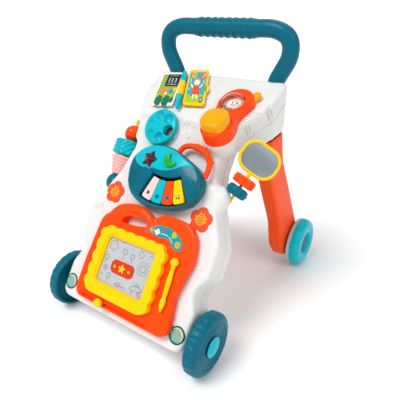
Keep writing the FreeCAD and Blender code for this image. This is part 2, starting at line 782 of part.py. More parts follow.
def phone_body():
    into_panel = V(0, math.sin(LEAN), -math.cos(LEAN)) * 60
    top = Part.Face(outline(PHONE_OUTLINE))
    skirt = top.extrude(into_panel)
    skirt.translate(V(0, 0, PHONE_TOP / 2))
    body = skirt.fuse(pad(PHONE_OUTLINE, PHONE_TOP / 2, PHONE_TOP, 4))
    inside = top.makeOffset2D(-WALL).extrude(into_panel)
    inside.translate(V(0, 0, 1))
    well = Part.Face(outline(bar_outline(*BUTTON))).makeOffset2D(CLEAR).extrude(V(0, 0, 10))
    well.translate(V(0, 0, 7))
    body = body.cut(inside).cut(well).cut(disc(*DOME, 19, 4, 13))
    return largest(on_console(body).cut(body_solid()).cut(phone_antenna()))


def phone_button():
    return on_console(pad(bar_outline(*BUTTON), 10.5, 27, 7))


def phone_dome():
    """A clear window over the beads: a shallow dome with a rim that sits in the body."""
    outer = [(0, 17.5), (0, 19), (8.4, 19)] + arc_profile(-27.2, 0, 40.2, 27, 0, 8)[1:]
    inner = arc_profile(-27.2, 0, 38.7, 0, 26, 8)
    profile = outer[:-1] + [(13.0, 0), (11.5, 0)] + inner[1:-1]
    return on_console(turned(profile, V(DOME[0], DOME[1], 4), V(0, 0, 1)))


def phone_beads():
    """Loose beads under the window."""
    beads = []
    for k in range(9):
        t = math.radians(198 + 18 * k)
        beads.append(Part.makeSphere(1.7, V(DOME[0] + 14 * math.cos(t), DOME[1] + 14 * math.sin(t), 5.8)))
    return on_console(Part.makeCompound(beads))


def phone_antenna():
    start = console_point(88, 45, 4)
    heading = console_point(97, 63, 7) - start
    profile = [(0, 0), (0, 6.5), (12, 6.5)] + arc_profile(14, 0, 6.5, 90, 0, 6)
    profile[-1] = (20.5, 0)
    return turned(profile, start, heading).cut(body_solid())


BOOK_FOOT, BOOK_HEAD = (-18.0, 2.0), (-65.0, 101.0)
LEFT_PAGE = [(-64, 3, 4), (-29.5, 9.5, 3), (-67.5, 88, 3), (-101, 82, 4)]
RIGHT_PAGE = [(-14.6, 13, 3), (18, 19.5, 5), (-15, 102, 5), (-53.0, 96, 3)]


def book_spine():
    start = console_point(*BOOK_FOOT, BOOK_PIN_N)
    heading = console_point(*BOOK_HEAD, BOOK_PIN_N) - start
    length = heading.Length
    profile = [(0, 0), (2, 4), (14, 5.5), (length - 14, 5.5), (length - 2, 4), (length, 0)]
    return turned(profile, start, heading)


def left_page():
    return on_console(pad(LEFT_PAGE, 0, 6, 1.5)).cut(book_spine())


def right_page():
    return on_console(pad(RIGHT_PAGE, 0.6, 5, 1.5))


# ---- writing the pieces --------------------------------------------------------------------------------
def pieces():
    yield "front_shell", front_shell()
    yield "rear_shell", rear_shell()
    yield "shell_screws", screws()
    yield "front_axle", front_axle()
    yield "rear_axles", Part.makeCompound([rear_axle(side) for side in (-1, 1)])
    yield "handle", handle()
    yield "grip", grip()
    for side, word in ((-1, "left"), (1, "right")):
        yield word + "_leg", leg(side)
        yield "front_" + word + "_wheel", front_wheel(side)
        yield "front_" + word + "_cap", front_cap(side)
        yield "rear_" + word + "_wheel", rear_wheel(side)
        yield "rear_" + word + "_ring", rear_ring(side)
        yield "rear_" + word + "_cap", rear_cap(side)
    yield "board_body", board_body()
    yield "board_back", board_back()
    yield "board_frame", board_frame()
    yield "draw_screen", draw_screen()
    yield "eraser_slider", eraser_slider()
    yield "pen", pen()
    yield "piano_base", piano_base()
    yield "piano_top", piano_top()
    yield "piano_ring", piano_ring()
    yield "battery_cover", battery_cover()
    yield "star_lens", star_lens()
    yield "moon_button", moon_button()
    for index, name in enumerate(KEY_NAMES):
        yield name, key(index)
    yield "key_mat", key_mat()
    yield "circuit_board", circuit_board()
    yield "speaker", speaker()
    yield "batteries", batteries()
    yield "spin_disc", spin_disc()
    yield "disc_spindle", disc_spindle()
    yield "badges", Part.makeCompound([flower_badges(), headlight_badges()])
    yield "roller_rod", roller_rod()
    yield "orange_ball", orange_ball()
    yield "ribbed_roller", ribbed_roller()
    yield "cone_roller", cone_roller()
    yield "dome_end", dome_end()
    yield "mirror_stalk", mirror_stalk()
    yield "ring_bead", ring_bead()
    yield "gear_bead", gear_bead()
    yield "mirror_frame", mirror_frame()
    yield "mirror_glass", mirror_glass()
    yield "phone_body", phone_body()
    yield "phone_button", phone_button()
    yield "phone_dome", phone_dome()
    yield "phone_beads", phone_beads()
    yield "phone_antenna", phone_antenna()
    yield "book_spine", book_spine()
    yield "left_page", left_page()
    yield "right_page", right_page()


os.makedirs("parts", exist_ok=True)
for node, shape in pieces():
    placed = shape.copy()
    placed.translate(V(0, AXLE_Y, 0))
    placed.exportStep("parts/" + node + ".step")
    print(node, round(placed.Volume), placed.isValid(), len(placed.Solids))
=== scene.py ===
import json
import math

import bmesh
import bpy
from mathutils import Matrix, Vector


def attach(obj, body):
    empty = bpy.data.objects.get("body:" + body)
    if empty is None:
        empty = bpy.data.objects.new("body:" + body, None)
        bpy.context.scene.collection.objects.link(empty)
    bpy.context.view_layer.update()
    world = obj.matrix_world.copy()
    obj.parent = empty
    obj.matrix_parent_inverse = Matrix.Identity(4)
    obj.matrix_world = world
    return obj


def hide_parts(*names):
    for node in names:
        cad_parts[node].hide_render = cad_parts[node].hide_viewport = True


# Looks of a baby push walker: glossy moulded ABS shells, a drawing board, a small keyboard and loose toys.
# Local shapes are drawn in millimetres on the face they lie on and carried to the toy's frame in metres.

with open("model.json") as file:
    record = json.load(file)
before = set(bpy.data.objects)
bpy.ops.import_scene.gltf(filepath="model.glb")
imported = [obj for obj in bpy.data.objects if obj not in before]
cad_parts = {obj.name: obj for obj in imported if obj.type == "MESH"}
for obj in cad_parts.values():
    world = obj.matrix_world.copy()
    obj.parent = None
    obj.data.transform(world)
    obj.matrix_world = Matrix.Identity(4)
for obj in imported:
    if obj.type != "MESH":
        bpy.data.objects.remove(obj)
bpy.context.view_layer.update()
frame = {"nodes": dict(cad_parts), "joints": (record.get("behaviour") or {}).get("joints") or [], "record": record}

MM = 0.001
JOINTS = {joint["name"]: joint for joint in frame["joints"]}

# ---- the faces that the toys lie on -------------------------------------------------------------------
PANEL_OUT = Vector(JOINTS["disc_spin"]["axis"]).normalized()
CONSOLE_OUT = -Vector(JOINTS["squeeze_press"]["axis"]).normalized()
PANEL_FOOT = Vector((0, -0.1899, 0.0668))
CONSOLE_FOOT = Vector((0, -0.0185, 0.316))


def place(origin, out, up):
    """From (across, up, out) in millimetres to the toy in metres."""
    across = up.cross(out).normalized()
    turn = Matrix((across, up.normalized(), out.normalized())).transposed().to_4x4()
    return Matrix.Translation(origin) @ turn @ Matrix.Scale(MM, 4)


PANEL = place(PANEL_FOOT, PANEL_OUT, Vector((1, 0, 0)).cross(PANEL_OUT) * -1)
CONSOLE = place(CONSOLE_FOOT, CONSOLE_OUT, Vector((1, 0, 0)).cross(CONSOLE_OUT) * -1)


def raised(base, height, x=0.0, y=0.0):
    """The same face, moved by millimetres."""
    return base @ Matrix.Translation((x, y, height))


def joint_place(name):
    """Axis distances along the joint's axis, from its point, in millimetres."""
    axis = Vector(JOINTS[name]["axis"]).normalized()
    side = axis.orthogonal().normalized()
    return place(Vector(JOINTS[name]["pos_m"]), axis, side)


# ---- materials ----------------------------------------------------------------------------------------
def linear(hex_colour):
    """sRGB hex to linear RGBA."""
    out = []
    for i in (0, 2, 4):
        c = int(hex_colour[i:i + 2], 16) / 255
        out.append(c / 12.92 if c <= 0.04045 else ((c + 0.055) / 1.055) ** 2.4)
    return tuple(out) + (1.0,)


def give(node, **settings):
    """Sets a node's own settings, and its inputs by their names."""
    for key, value in settings.items():
        if hasattr(node, key):
            setattr(node, key, value)
        else:
            node.inputs[key.replace("_", " ")].default_value = value


def add(tree, kind, links=(), **settings):
    """A node with its inputs and settings; links are (input, node, output)."""
    node = tree.nodes.new(kind)
    give(node, **settings)
    for socket, source, output in links:
        tree.links.new(source.outputs[output], node.inputs[socket])
    return node


def deeper(colour, share):
    """A linear colour made darker or lighter by a share."""
    return tuple(min(1.0, c * share) for c in colour[:3]) + (1.0,)


def shader(name):
    """An empty material, its tree and its shader."""
    material = bpy.data.materials.new(name)
    material.use_nodes = True
    tree = material.node_tree
    return material, tree, tree.nodes["Principled BSDF"]


def moulded(name, colour, roughness=0.25, shade=0.96, grain=0.02, coat=0.0):
    """Injection-moulded plastic: an even colour with faint flow clouds, an uneven gloss and a fine skin."""
    material, tree, surface = shader(name)
    base = linear(colour)
    where = add(tree, "ShaderNodeTexCoord")
    clouds = add(tree, "ShaderNodeTexNoise", [("Vector", where, "Object")], Scale=18.0, Detail=2.0)
    tint = add(tree, "ShaderNodeMix", [("Factor", clouds, "Fac")], data_type="RGBA",
               A=deeper(base, shade), B=deeper(base, 2 - shade))
    tree.links.new(tint.outputs["Result"], surface.inputs["Base Color"])
    # handling marks, a few millimetres across
    marks = add(tree, "ShaderNodeTexNoise", [("Vector", where, "Object")], Scale=160.0, Detail=3.0)
    gloss = add(tree, "ShaderNodeMapRange", [("Value", marks, "Fac")],
                To_Min=roughness * 0.8, To_Max=roughness * 1.25)
    tree.links.new(gloss.outputs["Result"], surface.inputs["Roughness"])
    # the mould's skin, about 0.6 mm across
    skin_grain = add(tree, "ShaderNodeTexNoise", [("Vector", where, "Object")], Scale=1600.0, Detail=1.0)
    bump = add(tree, "ShaderNodeBump", [("Height", skin_grain, "Fac")], Strength=grain, Distance=0.0004)
    tree.links.new(bump.outputs["Normal"], surface.inputs["Normal"])
    give(surface, Specular_IOR_Level=0.14, Coat_Weight=coat, Coat_Roughness=0.06)
    return material


def printed(name, colour, roughness=0.35):
    """Ink or foil on a smooth label."""
    return moulded(name, colour, roughness, shade=0.96, grain=0.01)


WHITE = moulded("white_abs_moulded", "E2E2E0", 0.30, shade=0.99)
ORANGE = moulded("orange_abs_gloss", "FF4A08", 0.20, coat=0.1)
LEG_ORANGE = moulded("leg_orange_pp_satin", "FF5210", 0.38, grain=0.05)
TEAL = moulded("teal_abs_satin", "00667C", 0.30)
DEEP_TEAL = moulded("dark_teal_abs_gloss", "006478", 0.18, coat=0.12)
CYAN = moulded("cyan_abs_gloss", "00B8C6", 0.20, coat=0.08)
YELLOW = moulded("yellow_abs_gloss", "FACD00", 0.22, coat=0.15)
GOLD = moulded("golden_abs_gloss", "FFA600", 0.20, coat=0.15)
PINK_KEY = moulded("pale_pink_abs", "F6CFCB", 0.22)
PINK = moulded("pink_abs_satin", "F7B9AE", 0.35)
PALE = moulded("grey_white_abs", "B7CFCF", 0.35)
BLUSH = moulded("blush_print_on_white", "F9DDD4", 0.32, shade=0.99)
# near-black, used only for the keys' well floor: painted shade for the deep recess under the keys
WELL_SHADE_BLACK = moulded("well_floor_painted_shade", "14181A", 0.45)

INK = {
    "teal": printed("ink_teal", "1199A3"), "white": printed("ink_white", "F4F2EA"),
    "orange": printed("ink_orange", "F58A1F"),
    "red": printed("ink_red", "D63A22"), "yellow": printed("ink_yellow", "F6C71A"),
    "coral": printed("ink_coral", "EA5232"), "olive": printed("ink_olive", "98AF52"),
    "navy": printed("ink_navy", "22303F"), "lime": printed("ink_lime", "A9C62B"),
    "forest": printed("ink_forest", "1F6E5C"), "sky": printed("ink_sky", "3FA9B5"),
    "pink": printed("ink_pink", "F0A090"), "magenta": printed("ink_magenta", "D9477E"),
    "grey": printed("ink_grey", "6E7276"), "blue": printed("ink_blue", "3E8FC4"),
    "deep": printed("ink_deep_teal", "0E4A48"), "beige": printed("ink_beige", "D9D2A8"),
    "paper": printed("ink_paper", "FBF9F2"),
}


def steel():
    """Bright-drawn steel rod with fine lengthwise lines."""
    material, tree, surface = shader("drawn_steel")
    where = add(tree, "ShaderNodeTexCoord")
    flat = add(tree, "ShaderNodeMapping", [("Vector", where, "Object")], Scale=(0.02, 1.0, 1.0))
    lines = add(tree, "ShaderNodeTexNoise", [("Vector", flat, "Vector")], Scale=3000.0)
    gloss = add(tree, "ShaderNodeMapRange", [("Value", lines, "Fac")], To_Min=0.18, To_Max=0.4)
    tree.links.new(gloss.outputs["Result"], surface.inputs["Roughness"])
    give(surface, Base_Color=linear("C4C7C9"), Metallic=1.0)
    return material


def lens(name, colour):
    """A deeply tinted styrene lens with a little cloud inside."""
    material, tree, surface = shader(name)
    base = linear(colour)
    where = add(tree, "ShaderNodeTexCoord")
    cloud = add(tree, "ShaderNodeTexNoise", [("Vector", where, "Object")], Scale=220.0, Detail=2.0)
    tint = add(tree, "ShaderNodeMix", [("Factor", cloud, "Fac")], data_type="RGBA",
               A=deeper(base, 0.5), B=deeper(base, 1.5))
    tree.links.new(tint.outputs["Result"], surface.inputs["Base Color"])
    give(surface, Roughness=0.12, Specular_IOR_Level=0.35, Coat_Weight=0.2)
    return material


def clear_window():
    """Clear polystyrene, slightly marked."""
    material, tree, surface = shader("clear_styrene_window")
    where = add(tree, "ShaderNodeTexCoord")
    marks = add(tree, "ShaderNodeTexNoise", [("Vector", where, "Object")], Scale=300.0, Detail=2.0)
    gloss = add(tree, "ShaderNodeMapRange", [("Value", marks, "Fac")], To_Min=0.02, To_Max=0.08)
    tree.links.new(gloss.outputs["Result"], surface.inputs["Roughness"])
    give(surface, Base_Color=linear("FFFFFF"), IOR=1.3, Transmission_Weight=1.0)
    return material


def mirror_film():
    """A metallised plastic mirror with a faint ripple; its darkened silver-grey is painted reflection of dark
    surroundings.
    """
    material, tree, surface = shader("metallised_mirror")
    where = add(tree, "ShaderNodeTexCoord")
    ripple = add(tree, "ShaderNodeTexNoise", [("Vector", where, "Object")], Scale=45.0, Detail=1.0)
    # grey base darker than a bright mirror film: painted reflection of the dark surroundings
    tint = add(tree, "ShaderNodeMix", [("Factor", ripple, "Fac")], data_type="RGBA",
               A=linear("8E979F"), B=linear("A4ABB2"))
    tree.links.new(tint.outputs["Result"], surface.inputs["Base Color"])
    bump = add(tree, "ShaderNodeBump", [("Height", ripple, "Fac")], Strength=0.12, Distance=0.001)
    tree.links.new(bump.outputs["Normal"], surface.inputs["Normal"])
    give(surface, Metallic=0.75, Roughness=0.36)
    return material


CELL_SIZE = 2.6   # of the film's honeycomb, in millimetres


def magnetic_screen():
    """The drawing film: pale grey over a honeycomb, whose cells show as darker rims under a clear coat."""
    material, tree, surface = shader("magnetic_drawing_film")
    where = add(tree, "ShaderNodeTexCoord")
    lean = -PANEL_OUT.angle(Vector((0, 0, 1)))
    turn = add(tree, "ShaderNodeMapping", [("Vector", where, "Object")], Rotation=(lean, 0, 0))
    cells = add(tree, "ShaderNodeTexVoronoi", [("Vector", turn, "Vector")], feature="DISTANCE_TO_EDGE",
                voronoi_dimensions="2D", Scale=1 / (CELL_SIZE * MM), Randomness=0.12)
    edge = add(tree, "ShaderNodeMapRange", [("Value", cells, "Distance")], From_Max=0.16)
    tint = add(tree, "ShaderNodeMix", [("Factor", edge, "Result")], data_type="RGBA",
               A=linear("8A9096"), B=linear("CDD0D2"))
    tree.links.new(tint.outputs["Result"], surface.inputs["Base Color"])
    give(surface, Roughness=0.25, Coat_Weight=0.5)
    return material


STEEL = steel()
RED_LENS = lens("red_styrene_lens", "42060C")
GREEN_LENS = lens("green_styrene_lens", "18A818")
WINDOW = clear_window()
MIRROR = mirror_film()
SCREEN = magnetic_screen()
SILICONE = moulded("grey_silicone_mat", "C9CDCF", 0.6)
BOARD_GREEN = moulded("green_solder_mask", "1E6B3A", 0.4)
PAPER_CONE = moulded("black_paper_cone", "202224", 0.7)
CELL = moulded("cell_wrapper", "D0A030", 0.3)


# ---- making pieces ------------------------------------------------------------------------------------
def linked(name, data):
    """A new object in the scene."""
    made = bpy.data.objects.new(name, data)
    bpy.context.scene.collection.objects.link(made)
    return made


def as_mesh(bm, name):
    """The bmesh as a mesh; the bmesh is then gone."""
    mesh = bpy.data.meshes.new(name)
    bm.to_mesh(mesh)
    bm.free()
    return mesh


def as_bmesh(mesh):
    """The mesh as a bmesh; the mesh is then gone."""
    bm = bmesh.new()
    bm.from_mesh(mesh)
    bpy.data.meshes.remove(mesh)
    return bm


def keep(name, mesh, body, slot_name, materials, replaced=(), angle=32.0, bevel=0.0):
    """A finished mesh becomes a piece that rides on its body."""
    piece = linked(name, mesh)
    for material in materials:
        mesh.materials.append(material)
    mesh.polygons.foreach_set("use_smooth", [True] * len(mesh.polygons))
    mesh.set_sharp_from_angle(angle=math.radians(angle))
    if bevel:
        rounding = piece.modifiers.new("edge_radius", "BEVEL")
        rounding.width = bevel * MM
        rounding.segments = 2
        rounding.limit_method = "ANGLE"
        rounding.angle_limit = math.radians(angle)
        rounding.harden_normals = True
    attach(piece, body)
    if replaced:
        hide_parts(*replaced)
    return piece


def from_bmesh(name, bm, placement, body, slot_name, materials, **more):
    """A bmesh drawn in millimetres becomes a piece."""
    bmesh.ops.remove_doubles(bm, verts=bm.verts, dist=1e-4)
    bmesh.ops.recalc_face_normals(bm, faces=bm.faces)
    bm.transform(placement)
    return keep(name, as_mesh(bm, name), body, slot_name, materials, **more)


def merged(node):
    """A CAD node's mesh with its triangles joined."""
    bm = bmesh.new()
    bm.from_mesh(frame["nodes"][node].data)
    bmesh.ops.remove_doubles(bm, verts=bm.verts, dist=2e-6)
    for face in bm.faces:
        face.material_index = 0
    return bm


def skin(node, body, slot_name, material, soft=()):
    """The CAD node's own shape, smoothly shaded, in its moulded finish; soft gives it rolled edges."""
    bm = merged(node)
    if soft:
        voxel, rounds = soft
        bm = softened(block(bm), voxel * MM, rounds)
    name = node + "_skin"
    keep(name, as_mesh(bm, name), body, slot_name, [material], (node,), 60 if soft else 32)


def round_corners(corners, steps=6):
    """Points of a closed outline through (x, y, radius) corners, each corner an arc."""
    points = []
    count = len(corners)
    for i in range(count):
        here = Vector(corners[i][:2])
        before = (Vector(corners[i - 1][:2]) - here).normalized()
        after = (Vector(corners[(i + 1) % count][:2]) - here).normalized()
        half = before.angle(after) / 2
        radius = corners[i][2]
        centre = here + (before + after).normalized() * (radius / math.sin(half))
        first = here + before * (radius / math.tan(half)) - centre
        last = here + after * (radius / math.tan(half)) - centre
        sweep = first.angle_signed(last)
        for k in range(steps + 1):
            turn = Matrix.Rotation(-sweep * k / steps, 2)
            points.append(tuple(centre + turn @ first))
    return points


def mirrored(half):
    """A half outline's corners with their mirror images, as one closed outline."""
    return half + [(-x, y, r) for x, y, r in reversed(half)]


def prism(points, low, high):
    """A closed block between two heights."""
    bm = bmesh.new()
    face = bm.faces.new([bm.verts.new((x, y, low)) for x, y in points])
    grown = bmesh.ops.extrude_face_region(bm, geom=[face])["geom"]
    top = [v for v in grown if isinstance(v, bmesh.types.BMVert)]
    bmesh.ops.translate(bm, verts=top, vec=(0, 0, high - low))
    bmesh.ops.recalc_face_normals(bm, faces=bm.faces)
    return bm


def block(bm, placement=Matrix.Identity(4)):
    """A construction solid, for shaping others."""
    bm.transform(placement)
    return linked("block", as_mesh(bm, "block"))


def opened(solid):
    """A construction solid as a bmesh; the solid is then gone."""
    bm = bmesh.new()
    bm.from_mesh(solid.data)
    bpy.data.objects.remove(solid)
    return bm


def settled(piece):
    """The mesh that a piece's modifiers give; the construction solid is then gone."""
    bpy.context.view_layer.update()
    mesh = bpy.data.meshes.new_from_object(piece.evaluated_get(bpy.context.evaluated_depsgraph_get()))
    bpy.data.objects.remove(piece)
    return mesh


def combine(piece, other, how):
    """Two construction solids as one: UNION, DIFFERENCE or INTERSECT."""
    cut = piece.modifiers.new("combine", "BOOLEAN")
    cut.operation = how
    cut.object = other
    cut.solver = "EXACT"
    mesh = settled(piece)
    bpy.data.objects.remove(other)
    return linked("block", mesh)


def softened(form, voxel, rounds):
    """A construction solid as an even mesh with its edges rounded by smoothing."""
    even = form.modifiers.new("even", "REMESH")
    even.mode = "VOXEL"
    even.voxel_size = voxel
    bm = as_bmesh(settled(form))
    for _ in range(rounds):
        bmesh.ops.smooth_vert(bm, verts=bm.verts, factor=0.5, use_axis_x=True, use_axis_y=True,
                              use_axis_z=True)
    return bm


def join(whole, part):
    """Adds one bmesh to another; the first is then gone."""
    mesh = as_mesh(part, "part")
    whole.from_mesh(mesh)
    bpy.data.meshes.remove(mesh)


def united(parts):
    """Several closed solids as one construction solid, still in millimetres."""
    whole = bmesh.new()
    for part in parts:
        join(whole, part)
    return block(whole)


def rolled(parts, voxel, rounds):
    """Several closed solids as one soft shape with rolled edges, in millimetres."""
    return softened(united(parts), voxel, rounds)


def carved(bm, cuts):
    """A solid less several others, in millimetres."""
    form = block(bm)
    for cut in cuts:
        form = combine(form, block(cut), "DIFFERENCE")
    return opened(form)


def drum(x, y, radius, low, high, steps=48):
    turns = [2 * math.pi * k / steps for k in range(steps)]
    return prism([(x + radius * math.cos(t), y + radius * math.sin(t)) for t in turns], low, high)


def orb(x, y, z, radius, flat=1.0):
    bm = bmesh.new()
    bmesh.ops.create_icosphere(bm, subdivisions=4 if radius > 5 else 2, radius=radius)
    bmesh.ops.scale(bm, vec=(1, 1, flat), verts=bm.verts)
    bmesh.ops.translate(bm, vec=(x, y, z), verts=bm.verts)
    return bm


def turned(profile, steps=96):
    """A solid of revolution about the local third axis: profile corners are (distance, radius)."""
    bm = bmesh.new()
    line = [bm.verts.new((r, 0, a)) for a, r in profile]
    edges = [bm.edges.new(pair) for pair in zip(line, line[1:] + line[:1])]
    bmesh.ops.spin(
        bm, geom=line + edges, cent=(0, 0, 0), axis=(0, 0, 1), angle=2 * math.pi, steps=steps, use_merge=True
    )
    bmesh.ops.remove_doubles(bm, verts=bm.verts, dist=1e-4)
    bmesh.ops.dissolve_degenerate(bm, edges=bm.edges, dist=1e-4)
    bmesh.ops.recalc_face_normals(bm, faces=bm.faces)
    return bm


def wire(lines, radius, closed=False, smooth=True, rings=1):
    """Round lines through lists of (x, y, z) points, as a bmesh in millimetres."""
    data = bpy.data.curves.new("wire", "CURVE")
    data.dimensions = "3D"
    data.bevel_depth = radius
    data.bevel_resolution = rings
    data.use_fill_caps = True
    data.resolution_u = 6
    for points in lines:
        spline = data.splines.new("NURBS" if smooth else "POLY")
        spline.points.add(len(points) - 1)
        for target, point in zip(spline.points, points):
            target.co = tuple(point) + (1.0,)
        if smooth:
            spline.order_u = 3
            spline.use_endpoint_u = not closed
        spline.use_cyclic_u = closed
    return as_bmesh(settled(linked("wire", data)))


def shaped(bm, move):
    """Moves every point of a mesh by a rule, in millimetres."""
    for v in bm.verts:
        v.co = Vector(move(*v.co))
    return bm


def flowing(points, steps=8):
    """A smooth closed outline through a few points."""
    knots = [Vector(p) for p in points]
    count = len(knots)
    line = []
    for i in range(count):
        a, b, c, d = (knots[(i + k) % count] for k in (-1, 0, 1, 2))
        for k in range(steps):
            t = k / steps
            bend, twist = a * 2 - b * 5 + c * 4 - d, b * 3 - a - c * 3 + d
            line.append(tuple((b * 2 + (c - a) * t + bend * t * t + twist * t ** 3) / 2))
    return line


def petals(x, y, radius, count, depth=0.25, turn=0.0, steps=60):
    """A flower's outline: round lobes about a middle."""
    turns = [2 * math.pi * k / steps for k in range(steps)]
    points = []
    for t in turns:
        lobe = abs(math.cos(count * (t - math.radians(turn)) / 2)) ** 0.8
        reach = radius * (1 - depth + depth * lobe)
        points.append((x + reach * math.cos(t), y + reach * math.sin(t)))
    return points


def star_points(x, y, outer, inner, turn, count=5):
    """A star's corners, tips first."""
    points = []
    for k in range(2 * count):
        t = math.radians(turn + 180 * k / count)
        r = inner if k % 2 else outer
        points.append((x + r * math.cos(t), y + r * math.sin(t)))
    return points


def circle(x, y, radius, steps=24, start=0.0, end=360.0):
    """Points round a circle, or along an arc of it with both its ends."""
    count = steps if end - start == 360 else steps + 1
    turns = [math.radians(start + (end - start) * k / steps) for k in range(count)]
    return [(x + radius * math.cos(t), y + radius * math.sin(t)) for t in turns]


def oval(x, y, wide, high, steps=24):
    turns = [2 * math.pi * k / steps for k in range(steps)]
    return [(x + wide * math.cos(t), y + high * math.sin(t)) for t in turns]


def crescent(x, y, radius, bite_x, bite_y, bite, steps=24):
    """A round shape with a round bite out of it, as one outline."""
    gap = math.hypot(bite_x - x, bite_y - y)
    heading = math.degrees(math.atan2(bite_y - y, bite_x - x))
    outside = math.degrees(math.acos((gap ** 2 + radius ** 2 - bite ** 2) / (2 * gap * radius)))
    inside = math.degrees(math.acos((gap ** 2 + bite ** 2 - radius ** 2) / (2 * gap * bite)))
    back = circle(x, y, radius, steps, heading + outside, heading + 360 - outside)
    return back + circle(bite_x, bite_y, bite, steps, heading + 180 + inside, heading + 180 - inside)[1:-1]


def strokes(lines, width, height=0.0, smooth=True, rise=0.5):
    """Lines through (x, y) points, flattened to a share of their width."""
    bm = wire([[(x, y, 0) for x, y in line] for line in lines], width / 2, smooth=smooth)
    bmesh.ops.scale(bm, vec=(1, 1, rise), verts=bm.verts)
    bmesh.ops.translate(bm, vec=(0, 0, height), verts=bm.verts)
    return bm


def gridded(bm, step=3.0):
    """Cuts a shape's faces on a grid, so that it can bend."""
    for axis, normal in ((0, (1, 0, 0)), (1, (0, 1, 0))):
        ends = [v.co[axis] for v in bm.verts]
        at = math.floor(min(ends) / step) * step + step
        while at < max(ends):
            spot = [0, 0, 0]
            spot[axis] = at
            bmesh.ops.bisect_plane(bm, geom=bm.verts[:] + bm.edges[:] + bm.faces[:], plane_co=spot,
                                   plane_no=normal)
            at += step
    return bm


def draped(bm, placement, target, reach=70.0):
    """Lays a shape on a piece: each point keeps its height above that piece's surface."""
    bpy.context.view_layer.update()
    graph = bpy.context.evaluated_depsgraph_get()
    back = placement.inverted()
    down = (placement.to_3x3() @ Vector((0, 0, -1))).normalized()
    for v in bm.verts:
        hit, where, _, _ = target.ray_cast(placement @ Vector((v.co.x, v.co.y, reach)), down, depsgraph=graph)
        if hit:
            v.co.z += (back @ where).z
    return bm


def printing(name, placement, body, slot_name, layers, target=None, replaced=()):
    """Printed or raised shapes as one piece: (material, shape) layers, laid on a target if one is named."""
    whole = bmesh.new()
    finishes = []
    for material, part in layers:
        if material not in finishes:
            finishes.append(material)
        for face in part.faces:
            face.material_index = finishes.index(material)
        join(whole, part)
    if target:
        draped(whole, placement, bpy.data.objects[target])
    from_bmesh(name, whole, placement, body, slot_name, finishes, replaced=replaced, angle=40)


# ---- the white body -----------------------------------------------------------------------------------
PANEL_HALF = [
    (122, -25, 16), (122, 32, 14), (107, 58, 22), (125, 84, 22), (125.5, 128, 34),
    (92, 192, 40), (80, 236, 40), (80, 272, 24), (90, 296, 9),
]
BODY_DEPTH = 50.0
BODY_ROUNDS = 14
SEAM_DEPTH = 26.0
SEAM_DRAW = 0.5   # how far each shell's edge is drawn in, which leaves the parting line
CONSOLE_SPAN, CONSOLE_HEIGHTS = (-150, 150), (180, 480)   # well past the console, whose plan trims them
HIP_MIDDLE, HIP_R, HIP_STRETCH = (95, 192), 16, 1.35
STAND_GROWTH = 1.5
CONSOLE_PLAN = [
    (86, -59.5, 8), (90, -25.5, 14), (102, -8.5, 16), (121, 32.5, 30), (121, 76.5, 22), (104, 102.5, 18),
]
CONSOLE_BACK = [(102.5, 352, 14), (98.5, 300, 14), (76.5, 288, 12)]
SEAM_BACK = [(-7.5, 292), (68.5, 331), (80.5, 345), (80.5, 480)]
DISC_MIDDLE, DISC_R = (-34.0, 274.5), 29.5
PHONE_OUTLINE = [
    (42, -47, 24), (100, -47, 24), (91, 3, 30), (104.5, 62, 26), (37.5, 62, 26), (51, 3, 30),
]
PHONE_X = 71.0
VOXEL = 2.8
SHELL_WALL = 2.5
UPRIGHT = Matrix.Scale(MM, 4)
SIDEWAYS = Matrix(((0, 0, MM, 0), (MM, 0, 0, 0), (0, MM, 0, 0), (0, 0, 0, 1)))   # (y, z, x) to the toy


def bar_outline(left, right, low, high, radius):
    return [(left, low, radius), (right, low, radius), (right, high, radius), (left, high, radius)]


def bar(left, right, low, high, radius, bottom, top):
    """A block with an oblong outline and rounded corners."""
    return prism(round_corners(bar_outline(left, right, low, high, radius)), bottom, top)


def on_panel(s, n):
    """A point of the panel's middle line as (y, z) in millimetres."""
    point = PANEL @ Vector((0, s, n)) / MM
    return point.y, point.z


def console_side():
    """The console from the side, as (y, z, radius) corners."""
    lip = CONSOLE @ Vector((0, -13.4, 0)) / MM
    crest = CONSOLE @ Vector((0, 106, 0)) / MM
    front = [on_panel(244, 0) + (4,), on_panel(290, 0) + (3,), (lip.y, lip.z, 4), (crest.y, crest.z, 16)]
    return front + CONSOLE_BACK


def body_form():
    """The whole white body as one soft closed form."""
    slab = block(prism(round_corners(mirrored(PANEL_HALF)), -BODY_DEPTH, 0), PANEL)
    across = block(prism(round_corners(console_side()), *CONSOLE_SPAN), SIDEWAYS)
    plan = block(prism(round_corners(mirrored(CONSOLE_PLAN)), *CONSOLE_HEIGHTS), UPRIGHT)
    console = combine(across, plan, "INTERSECT")
    form = combine(slab, console, "UNION")
    bay = prism(circle(*DISC_MIDDLE, DISC_R + 3, 72), 0, 40)
    form = combine(form, block(bay, PANEL), "DIFFERENCE")
    boss = orb(0, 0, 0, HIP_R)
    bmesh.ops.scale(boss, vec=(1, HIP_STRETCH, 1), verts=boss.verts)
    boss.transform(raised(PANEL, -14, *HIP_MIDDLE))
    foot = [(x + math.copysign(STAND_GROWTH, x - PHONE_X), y, r) for x, y, r in PHONE_OUTLINE]
    stand = prism(round_corners(foot), -30, -5)
    stand.transform(CONSOLE)
    return rolled([opened(form), boss, stand], VOXEL * MM, BODY_ROUNDS)


def seam_line():
    """Where the two shells part, as (y, z) points from the floor upwards."""
    low, high = on_panel(-80, -SEAM_DEPTH), on_panel(255, -SEAM_DEPTH)
    return [low, high] + SEAM_BACK


